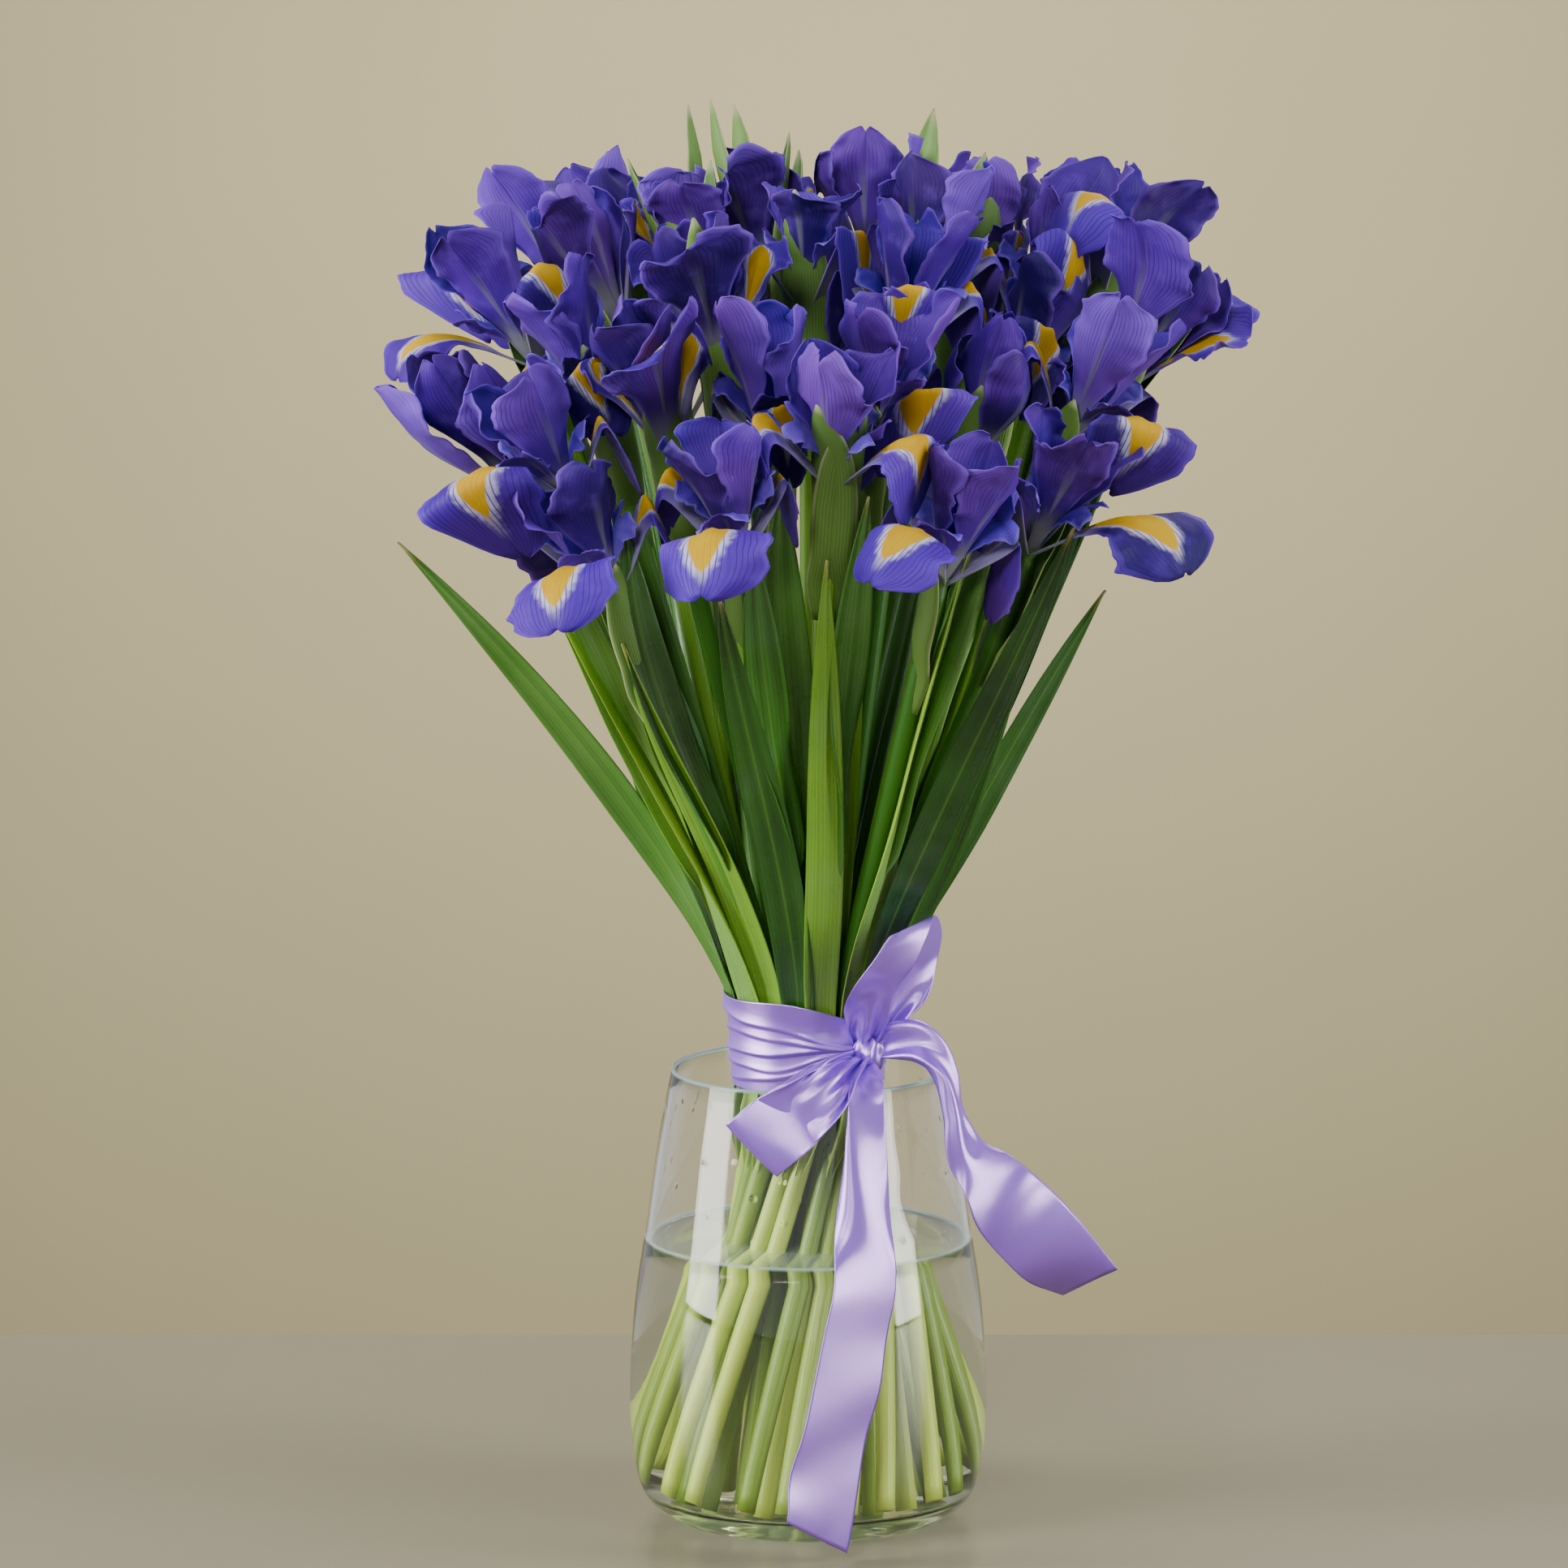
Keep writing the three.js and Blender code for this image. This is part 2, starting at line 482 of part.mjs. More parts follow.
function growPetal(body, corners, flower, petal, number) {
  const seed = flower.index * 31 + number * 5 + (petal.layer === 'standard' ? 17 : 0);
  const offset = petal.layer === 'standard' ? 60 : 0;
  const frame = bloomFrame(flower, flower.face + offset + 120 * number + 6 * draw(seed));
  const twist = 0.15 * draw(seed + 4);
  const netAt = (droop) => {
    const spine = petalSpine(petal, seed, droop);
    const centreAt = (t) => {
      const [out, up, angle] = spine[Math.round(t * (spine.length - 1))];
      const centre = flower.base.clone().addScaledVector(frame.out, out).addScaledVector(frame.up, up);
      return { centre, angle };
    };
    const rows = petal.rows.map((t) => {
      const { centre, angle } = centreAt(t);
      const along = frame.out.clone().multiplyScalar(Math.sin(angle));
      along.addScaledVector(frame.up, Math.cos(angle));
      const side = frame.side.clone().applyAxisAngle(along, petal.spin + twist * t);
      const inward = new THREE.Vector3().crossVectors(along, side);
      return rowAcross(centre, side, inward, lookUp(petal.widths, t), petal.wrap)
        .map((point) => pressed(flower, point));
    });
    return { rows, tip: pressed(flower, centreAt(1).centre) };
  };
  let droop = 1;
  let { rows, tip } = netAt(droop);
  while (isFolded(rows, tip) && droop > 0.3) {
    droop -= 0.1;
    ({ rows, tip } = netAt(droop));
  }
  const spineOut = [flower.base, ...rows.map((row) => row[1]), tip];
  const normals = rows.map((row, i) => {
    const along = spineOut[i + 2].clone().sub(spineOut[i]);
    return new THREE.Vector3().crossVectors(row[2].clone().sub(row[0]), along).normalize();
  });
  body.blade(corners, rows, normals, tip, PETAL_HALF);
}

// The petals grow from a small star-shaped tube just above the end of the stem.
const TUBE = {
  edge: [3.6, 4.4], outer: [3.5, 1.6], inner: [2.2, 8], over: [1.3, 9.6], top: 10.2, bottom: 0.5 };

function bloomSolid(flower) {
  const body = new Growth();
  const [falls, standards, styles] = PETALS[flower.kind];
  const slots = standards ? 6 : 3;
  const at = ([out, up], slot) => {
    const frame = bloomFrame(flower, flower.face + slot * 360 / slots);
    return body.add(flower.base.clone().addScaledVector(frame.out, out).addScaledVector(frame.up, up));
  };
  const edges = Array.from({ length: slots }, (_, slot) => at(TUBE.edge, slot - 0.5));
  const top = at([0, TUBE.top], 0);
  const bottom = at([0, TUBE.bottom], 0);
  for (let slot = 0; slot < slots; slot += 1) {
    const [left, right] = [edges[slot], edges[(slot + 1) % slots]];
    const outer = at(TUBE.outer, slot);
    let inner = at(TUBE.inner, slot);
    const isFall = slots === 3 || slot % 2 === 0;
    const number = slots === 3 ? slot : Math.floor(slot / 2);
    growPetal(body, [left, outer, right, inner], flower, isFall ? falls : standards, number);
    if (styles && isFall) {
      const over = at(TUBE.over, slot);
      growPetal(body, [left, inner, right, over], flower, styles, number);
      inner = over;
    }
    body.face(bottom, outer, left);
    body.face(bottom, right, outer);
    body.face(top, inner, right);
    body.face(top, left, inner);
  }
  return body.solid();
}

// ---- vase and water -----------------------------------------------------------------------
// A solid turned about the upright axis from [radius, height] rows.
function turned(rows, sides) {
  const outline = rows.map(([radius, height]) => new THREE.Vector2(radius, height));
  return toSolid(new THREE.LatheGeometry(outline, sides).rotateX(Math.PI / 2));
}

const VASE_RIM = [61.2, VASE_HEIGHT];
const FLOOR = 9; // height of the glass floor at its centre

function vaseSolid() {
  return turned([[0, 0], ...VASE_OUTSIDE, VASE_RIM, ...VASE_INSIDE, [0, FLOOR]], VASE_SIDES);
}

function waterSolid() {
  const wall = VASE_INSIDE.filter(([, height]) => height < WATER_LEVEL - 5).reverse();
  const inset = wall.map(([radius, height]) => [radius - GAP, height + (height < 13 ? GAP : 0)]);
  const radiusAt = [...VASE_INSIDE].reverse().map(([radius, height]) => [height, radius]);
  const brim = lookUp(radiusAt, WATER_LEVEL) - GAP;
  return turned([[0, FLOOR + GAP], ...inset, [brim, WATER_LEVEL], [0, WATER_LEVEL]], VASE_SIDES);
}

// ---- ribbon -------------------------------------------------------------------------------
// A flat strip of the ribbon through rows of [midline point, width, direction across], made of
// one short length between each row and the next.
function ribbonStrip(rows) {
  const points = rows.map(([point]) => new THREE.Vector3(...point));
  const rings = rows.map(([, width, across], i) => {
    const along = points[Math.min(i + 1, rows.length - 1)].clone().sub(points[Math.max(i - 1, 0)]);
    const side = new THREE.Vector3(...across);
    const normal = new THREE.Vector3().crossVectors(side, along).normalize().multiplyScalar(RIBBON_HALF);
    side.normalize().multiplyScalar(width / 2);
    return [[1, 1], [-1, 1], [-1, -1], [1, -1]].map(([u, v]) => (
      points[i].clone().addScaledVector(side, u).addScaledVector(normal, v).toArray()));
  });
  return fuse(rings.slice(1).map((ring, i) => wasm.Manifold.hull([...rings[i], ...ring])));
}

function ribbonSolid() {
  const outside = BAND.map(([radius, height]) => [radius + 2 * RIBBON_HALF, height]).reverse();
  const band = turned([...BAND, ...outside, BAND[0]], BAND_SIDES);
  const knot = new THREE.SphereGeometry(1, 8, 6).scale(...KNOT.half).translate(...KNOT.centre);
  const bow = [UP_LOOP, LEFT_LOOP, FRONT_TAIL, RIGHT_TAIL].map(ribbonStrip);
  return fuse([band, toSolid(knot), ...bow]);
}

// ---- the part -----------------------------------------------------------------------------
const group = new THREE.Group();
group.add(toMesh(vaseSolid(), 'vase', CLEAR_GLASS));

const flowerAt = ([ring, azimuth]) => FLOWERS.find((one) => one.ring === ring && one.azimuth === azimuth);
function clusterSolid(flowers, extra) {
  return fuse(flowers.flatMap((flower) => [
    stemSolid(flower, extra),
    ...leavesOf(flower).map((leaf) => leafSolid(flower, leaf, extra)),
    ...valvesOf(flower).map((azimuth, number) => valveSolid(flower, azimuth, number, extra)),
  ]));
}

let greenery = null;
STEM_CLUSTERS.forEach((cluster, index) => {
  const flowers = cluster.map(flowerAt);
  const solid = clusterSolid(flowers, 0);
  const kept = mainBody(greenery ? solid.subtract(greenery) : solid);
  const wide = clusterSolid(flowers, GAP);
  greenery = greenery ? greenery.add(wide) : wide;
  group.add(toMesh(kept, `stems_${String(index + 1).padStart(2, '0')}`, GREEN_LEAF));
});

FLOWERS.forEach((flower) => {
  const kept = mainBody(bloomSolid(flower).subtract(greenery));
  group.add(toMesh(kept, `bloom_${String(flower.index + 1).padStart(2, '0')}`, VIOLET_PETAL));
});

group.add(toMesh(mainBody(waterSolid().subtract(greenery)), 'water', CLEAR_WATER));
group.add(toMesh(mainBody(ribbonSolid()), 'ribbon', LILAC_SATIN));

export default group;
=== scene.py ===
# Looks of the bouquet of irises in a glass vase: finer petals, leaves, stems, ribbon, glass and
# water in the place of the plain solids, with their materials, a plain stage, light and camera.
# Geometry is worked out in millimetres, in the part's own frame, and made in metres.
import math
import bpy
import numpy as np
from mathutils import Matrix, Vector


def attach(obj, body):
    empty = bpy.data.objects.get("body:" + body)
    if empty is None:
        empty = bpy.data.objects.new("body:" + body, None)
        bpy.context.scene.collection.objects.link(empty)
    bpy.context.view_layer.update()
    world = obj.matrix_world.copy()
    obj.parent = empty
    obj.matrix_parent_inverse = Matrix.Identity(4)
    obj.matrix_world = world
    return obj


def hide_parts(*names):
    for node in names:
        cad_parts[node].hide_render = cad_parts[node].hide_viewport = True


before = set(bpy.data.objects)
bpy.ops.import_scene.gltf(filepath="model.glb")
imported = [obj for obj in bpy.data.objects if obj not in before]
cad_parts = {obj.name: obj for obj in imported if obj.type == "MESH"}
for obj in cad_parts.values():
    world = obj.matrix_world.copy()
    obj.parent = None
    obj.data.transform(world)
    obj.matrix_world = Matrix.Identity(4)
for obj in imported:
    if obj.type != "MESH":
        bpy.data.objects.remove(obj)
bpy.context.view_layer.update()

MM = 0.001
TAU = math.tau
UP = np.array([0.0, 0.0, 1.0])

# ---- dimensions shared with the solids
VASE_OUTSIDE = [(58, 0), (68.5, 3.6), (76.5, 13.4), (80.6, 35), (81.2, 64), (78.6, 101), (73.6, 134),
                (68.8, 168), (62.2, 204)]
VASE_INSIDE = [(60.2, 204.4), (66.3, 168), (71.1, 134), (76.1, 101), (78.7, 64), (77.6, 35), (73, 19),
               (66, 12.4), (54, 9)]
WATER_LEVEL = 127.5
STEM_RADIUS = 4.2
STEM_FOOT = 12         # how far out a stem is at this height tells what is under it
STEM_LIFT = 1.4        # from the glass floor to a stem's end
RING_STEP = 8.6        # between the rings of stems in the tie
OUTER_STEP = 20        # degrees between the stems of the outer ring
PAIR_DISTANCE = 6.9    # between the two stems of a pair
MIDDLE_STEM = (0, -1.7, 0)
TIE_TOP, TIE_SOFT = 239, 12    # the stems fan out above this height
WAIST, WAIST_SOFT = 187, 20    # and spiral open below this one
FAN, SPIRAL, OPENING = 0.0158, 0.012, 0.0019
AXIS_RISE = 235        # a bloom at (x, y) leans along (x, y, this)
CROWN = 26             # from the end of the stem to the centre of the bloom
PRESS_POWER = 6        # how suddenly a petal gives way where its room ends
PRESS_MARGIN = 0.8     # kept free at the border to a neighbouring bloom
MAX_BEND = 1.9         # a petal that bends more, or has a shorter step, has folded
MIN_STEP = 2
SPINE_STEPS = 24
LONG_VALVES = 58       # green valves that reach further overtop their bloom

# ---- limits of the finer petals
FALL_LIMITS = (-178, 166)      # falls that would end outside these x values are shortened,
SHORTEST_FALL = 0.76           # while they are longer than this share of their length
HIGH_TIPS = 590                # petals above this height stand lower

# ring and azimuth of the stem in the tie, kind of bloom, its centre, the azimuth that its first
# fall faces, and the reach of its green valves
FLOWERS = [
    (3, -170, 'half', -20, 132, 543, 170, 26), (3, -150, 'open', -62, 118, 512, -150, 24),
    (3, -130, 'cup', -84, 88, 566, -100, 40), (3, -110, 'open', -114, 44, 566, -75, 24),
    (3, -90, 'open', -132, -8, 545, -80, 26), (3, -70, 'cup', -137, -52, 490, -65, 22),
    (3, -50, 'open', -112, -90, 489, -30, 24), (3, -30, 'open', -92, -114, 452, -15, 20),
    (3, -10, 'open', -34, -120, 470, -5, 22), (3, 10, 'open', 12, -112, 500, 40, 34),
    (3, 30, 'open', 62, -118, 460, -20, 24), (3, 50, 'open', 104, -98, 470, 60, 22),
    (3, 70, 'open', 122, -62, 512, 25, 26), (3, 90, 'half', 148, -14, 532, 70, 40),
    (3, 110, 'open', 142, 42, 566, 80, 34), (3, 130, 'cup', 110, 86, 570, 120, 26),
    (3, 150, 'open', 76, 118, 525, 150, 26), (3, 170, 'half', 30, 135, 512, -170, 24),
    (2, -150, 'bud', -16, 84, 572, 0, 66), (2, -120, 'half', -56, 60, 574, 20, 62),
    (2, -90, 'half', -92, 6, 562, -30, 30), (2, -60, 'open', -98, -48, 524, 0, 26),
    (2, -30, 'half', -66, -80, 512, 10, 26), (2, 0, 'open', -18, -82, 512, 10, 22),
    (2, 30, 'open', 32, -82, 520, 20, 26), (2, 60, 'cup', 76, -58, 508, 30, 26),
    (2, 90, 'open', 96, -8, 530, 15, 26), (2, 120, 'open', 106, 36, 556, 10, 30),
    (2, 150, 'open', 78, 78, 570, 40, 28), (2, 180, 'bud', 34, 90, 572, 0, 66),
    (1, -150, 'half', -22, 42, 580, -20, 62), (1, -90, 'open', -48, 2, 570, 60, 46),
    (1, -30, 'half', -42, -44, 546, -10, 40), (1, 30, 'open', 42, -38, 552, 0, 30),
    (1, 90, 'open', 54, 6, 570, 0, 44), (1, 150, 'half', 30, 44, 582, 30, 34),
    (0, 0, 'open', 0, -4, 570, 40, 34),
]
# the stems that share a node: three in the middle, and pairs of (ring, azimuth, azimuth) round them
STEM_PAIRS = [(1, 90, 150), (1, -150, -90), (2, -30, 0), (2, 30, 60), (2, 90, 120), (2, 150, 180),
              (2, -150, -120), (2, -90, -60), (3, -10, 10), (3, 30, 50), (3, 70, 90), (3, 110, 130),
              (3, 150, 170), (3, -170, -150), (3, -130, -110), (3, -90, -70), (3, -50, -30)]
STEM_CLUSTERS = [[(0, 0), (1, -30), (1, 30)]] + [[(ring, a), (ring, b)] for ring, a, b in STEM_PAIRS]
# how far each kind pushes the border to a neighbouring bloom outwards
SHARE = {'open': 3, 'half': 1, 'cup': 0, 'bud': -4}

# Outlines: the plain ones steer how a petal gives way, the fine ones are what is seen.
FALL = [(0, 2), (0.3, 8), (0.48, 15), (0.66, 47.5), (0.84, 49.5), (1, 8)]
STANDARD = [(0, 2), (0.3, 6), (0.64, 25.5), (0.85, 17.5), (1, 2)]
STYLE = [(0, 2), (0.4, 6.5), (0.75, 16.5), (1, 10)]
CUP = [(0, 2), (0.32, 15), (0.62, 37.5), (0.84, 28.5), (1, 4)]
BUD = [(0, 2), (0.3, 13), (0.62, 18.5), (0.84, 12), (1, 2)]
FINE = {
    'fall': [(0, 7), (0.15, 11.5), (0.3, 16), (0.42, 20), (0.5, 25), (0.57, 34), (0.65, 46), (0.74, 51.5),
             (0.83, 51), (0.9, 45), (0.95, 35), (0.985, 22), (1, 12)],
    'standard': [(0, 4), (0.15, 7), (0.3, 11), (0.45, 20), (0.58, 30), (0.7, 35), (0.82, 33), (0.91, 24),
                 (0.97, 13), (1, 5)],
    'style': [(0, 4), (0.2, 7), (0.4, 11), (0.6, 17), (0.78, 22), (0.9, 21), (1, 14)],
    'cup': [(0, 4), (0.16, 11), (0.32, 20), (0.48, 33), (0.62, 42), (0.75, 42), (0.87, 33), (0.95, 20),
            (1, 6)],
    'bud': [(0, 3), (0.15, 9), (0.3, 14), (0.5, 19), (0.64, 19.5), (0.82, 14), (0.93, 7), (1, 1.5)],
}
# layer, start of the spine, length, lean of the haft and of the tip, where the bend begins, widths,
# wrap, spin, the rows that mustn't fold and the fine outline
FORM = ('layer', 'start', 'length', 'haft', 'tip', 'bend', 'widths', 'wrap', 'spin', 'rows', 'fine')
PETALS = {kind: [dict(zip(FORM, row)) for row in rows] for kind, rows in {
    'open': [('fall', (2.2, 1), 92, 38, 134, 0.38, FALL, -0.35, 0, (0.3, 0.48, 0.66, 0.84), 'fall'),
             ('standard', (2.4, 3), 71, 15, 24, 0.3, STANDARD, 0.6, 0, (0.3, 0.64), 'standard'),
             ('style', (1, 9), 37, 24, 56, 0.3, STYLE, -0.6, 0, (0.4, 0.75), 'style')],
    'half': [('fall', (2.2, 1), 85, 26, 70, 0.5, FALL, 0.4, 0.15, (0.3, 0.48, 0.66, 0.8), 'fall'),
             ('standard', (2.4, 3), 69, 15, 8, 0.3, STANDARD, 0.8, 0.25, (0.3, 0.64), 'standard')],
    'cup': [('fall', (2.2, 1), 76, 32, -4, 0.2, CUP, 0.8, 0.15, (0.32, 0.62, 0.84), 'cup'),
            ('standard', (2.4, 3), 71, 15, -4, 0.3, STANDARD, 0.9, 0.15, (0.3, 0.64), 'standard')],
    'bud': [('fall', (2, 1), 72, 11, -6, 0.2, BUD, 1.2, 0.45, (0.3, 0.62, 0.84), 'bud')],
}.items()}
RUFFLE = {'fall': 3.3, 'standard': 3.7, 'style': 1.5, 'cup': 3.4, 'bud': 0.6}
GRIDS = {'fall': (46, 23), 'standard': (40, 19), 'style': (20, 11), 'cup': (40, 21), 'bud': (24, 11)}
FACE_SLOT = {'fall': 0, 'standard': 2, 'style': 4, 'cup': 2, 'bud': 2}  # the next slot is the back's
STEM_SLOT = 6

# ---- greenery
LEAF = [(0, 3), (0.05, 9), (0.12, 13.5), (0.2, 15.5), (0.31, 16.5), (0.45, 18.5), (0.6, 19), (0.74, 16.5),
        (0.86, 11.5), (0.95, 5), (1, 0.8)]
VALVE = [(0, 11), (0.12, 14), (0.3, 17), (0.5, 18.5), (0.65, 18), (0.8, 15), (0.92, 8.5), (1, 0.9)]
# valves of single blooms, by their place in FLOWERS, counted from 0
FRONT_VALVES = {9: (-40, 38), 21: (10,), 22: (-5,), 25: (-20,), 32: (5, 185)}  # these face the front
TOP_VALVES = (28, 34, 35, 36)                 # these show above the highest petals
BROAD_VALVES = TOP_VALVES + (13, 31)
BROADEST_VALVES = 9                           # both of full length
VALVE_OFFSETS = [(-44, 2), (-28, 6.6), (-6, 7.6), (20, 10), (66, 17)]
VALVE_ROOT = -62
SPLAY = {-70: 52, -50: 12, -10: 10, 50: 16, 90: 14, 130: 12, -130: 14}
WIDE_SPLAY = 40
HIGH_TURN, SIDE_TURN = 1.15, 0.4              # how far the upper leaves stand round their stems

# ---- the bow: rows of midline point, width and direction across
RIBBON_WIDTH = 38
RIBBON_HALF = 0.3
BAND = [(33.6, 198), (33.9, 212), (35.2, 228), (37.4, 241)]
BAND_RADII = [(z, r) for r, z in BAND]
BAND_LOW, BAND_HIGH = 198, 241
CREASES = [(0.1, 1.6, 1.0), (0.27, 2.3, 0.85), (0.45, 2.5, 1.0), (0.61, 2.0, 0.85), (0.8, 1.8, 1.0)]
KNOT_CENTRE = (27, -35.5, 218)
KNOT_SIZE = (7.0, 6.6, 8.2)
UP_LOOP = [
    (24.5, -35, 222, 10, 1, -0.3, 0), (27, -45, 233, 20, 1, -0.1, 0.35), (29.5, -53, 246, 27, 1, 0.1, 0.4),
    (34, -59, 259, 33, 1, 0.45, 0.4), (41, -59, 272, 34, 0.8, 0.75, 0.3), (46, -52, 279, 36, 0.7, 1, 0.15),
    (49, -44, 274, 36, 0.6, 1, 0.1), (48, -38.5, 262, 34, 0.7, 0.9, 0.2), (42, -37, 247, 28, 0.9, 0.5, 0.2),
    (33, -36.5, 232, 17, 1, 0.1, 0.1), (25, -34, 221, 10, 1, -0.2, 0),
]
LEFT_LOOP = [
    (22, -37, 217, 9, 0.7, 0, -0.7), (17, -51, 217, 13, 0.7, 0, -0.7), (11, -64, 213, 21, 0.7, 0, -0.72),
    (1, -71, 204, 27, 0.68, -0.1, -0.72), (-10, -73.5, 195, 32, 0.68, -0.16, -0.72),
    (-22, -73.5, 185, 32, 0.68, -0.16, -0.72), (-23.5, -72, 183.5, 32, 0.68, -0.16, -0.72),
    (-12, -71, 193, 32, 0.68, -0.16, -0.72), (2, -68.5, 203, 25, 0.7, -0.1, -0.7),
    (12, -60, 211.5, 17, 0.8, 0, -0.6), (19, -47, 215, 11, 0.9, 0, -0.4), (24, -36, 216, 8, 1, 0, 0),
]
FRONT_TAIL = [
    (25, -37, 214, 9, 1, 0, 0), (25, -52, 214, 13, 1, 0, 0), (25.5, -65, 210, 15, 1, 0.1, 0),
    (25.5, -72.5, 197, 17, 1, 0.2, 0), (26, -78, 172, 21, 1, 0.3, 0), (25.5, -84.5, 150, 26, 1, 0.35, 0),
    (24.5, -90.5, 128, 32, 1, 0.6, 0), (22, -94, 110, 35, 1, 0.7, 0), (15, -97, 75, 37, 1, 0.72, 0),
    (6.5, -98.5, 38, 38, 0.9, 0.66, -0.08), (2.5, -99.5, 14, 38, 0.8, 0.74, -0.3),
]
RIGHT_TAIL = [
    (27, -34, 221, 9, 0, 0.3, 1), (36, -40, 226, 17, 0.1, 0.3, 1), (48, -45, 227, 19, 0.2, 0.5, 1),
    (57, -48.5, 221.5, 16, 0.5, 0.8, 0.8), (63.5, -51, 211, 14, 0.4, 1, 0.2), (67, -53, 196, 16, 0.2, 1, 0.1),
    (72, -56, 181, 23, 0.5, 0.9, 0.35), (85, -60, 160, 34, 0.75, 0.35, 0.62),
    (104, -62, 139, 38, 0.7, -0.15, 0.7), (125, -58, 119, 38, 0.52, -0.66, 0.52),
]


# ---- small helpers
def vec(*values):
    return np.array(values, float)


def unit(v):
    return v / np.maximum(np.linalg.norm(v, axis=-1, keepdims=True), 1e-9)


def mix(a, b, t):
    return a + (b - a) * t


def smooth(t):
    t = np.clip(t, 0, 1)
    return t * t * (3 - 2 * t)


def rise(t, start, run):
    """0 up to start, 1 from start + run, smooth between."""
    return smooth((t - start) / run)


def hump(x, width):
    return np.exp(-(x / width) ** 2)


def draw(seed):
    """A seeded draw between -1 and 1."""
    wave = math.sin(seed * 127.1 + 311.7) * 43758.5453
    return 2 * (wave - math.floor(wave)) - 1


def tone_of(seed):
    return 0.5 + 0.5 * draw(seed)


def ramp(x, soft):
    """x where it is positive and 0 where it isn't, rounded over soft to either side."""
    if x <= -soft:
        return 0.0
    return x if x >= soft else (x + soft) ** 2 / (4 * soft)


def look_up(rows, position):
    return np.interp(position, [r[0] for r in rows], [r[1] for r in rows])


def curve(rows, position):
    """A smooth curve through rows of (position, value), which may be a vector."""
    xs = np.array([r[0] for r in rows], float)
    ys = np.array([r[1] for r in rows], float)
    slopes = np.gradient(ys, xs, axis=0)
    position = np.clip(np.asarray(position, float), xs[0], xs[-1])
    i = np.clip(np.searchsorted(xs, position, side='right') - 1, 0, len(xs) - 2)
    span = xs[i + 1] - xs[i]
    t = (position - xs[i]) / span
    if ys.ndim > 1:
        t, span = t[..., None], span[..., None]
    return ((2 * t ** 3 - 3 * t ** 2 + 1) * ys[i] + (t ** 3 - 2 * t ** 2 + t) * span * slopes[i]
            + (3 * t ** 2 - 2 * t ** 3) * ys[i + 1] + (t ** 3 - t ** 2) * span * slopes[i + 1])


def through(values, count):
    """count points on a smooth curve through evenly spaced values."""
    return curve(list(enumerate(values)), np.linspace(0, len(values) - 1, count))


def run_along(points):
    """The distance from the first point to each one."""
    return np.concatenate([[0], np.cumsum(np.linalg.norm(np.diff(points, axis=0), axis=1))])


def round_angles(count):
    return np.linspace(0, TAU, count, endpoint=False)


def compass(azimuth):
    a = math.radians(azimuth)
    return vec(math.sin(a), -math.cos(a), 0)


def turn_about(v, axis, angle):
    c, s = np.cos(angle), np.sin(angle)
    return v * c + np.cross(axis, v) * s + axis * np.sum(axis * v, axis=-1, keepdims=True) * (1 - c)


def uv_grid(u, v):
    return np.stack(np.broadcast_arrays(u, v), axis=-1)


def rolled(on, side, inward, width, wrap, u, lift=0.0):
    """Points across a blade that is rolled about its midline."""
    return (on + side * (width / 2 * np.sin(wrap * u) / wrap)[..., None]
            + inward * (width / 2 * (1 - np.cos(wrap * u)) / wrap + lift)[..., None])


def add_object(name, data):
    obj = bpy.data.objects.new(name, data)
    bpy.context.scene.collection.objects.link(obj)
    return obj


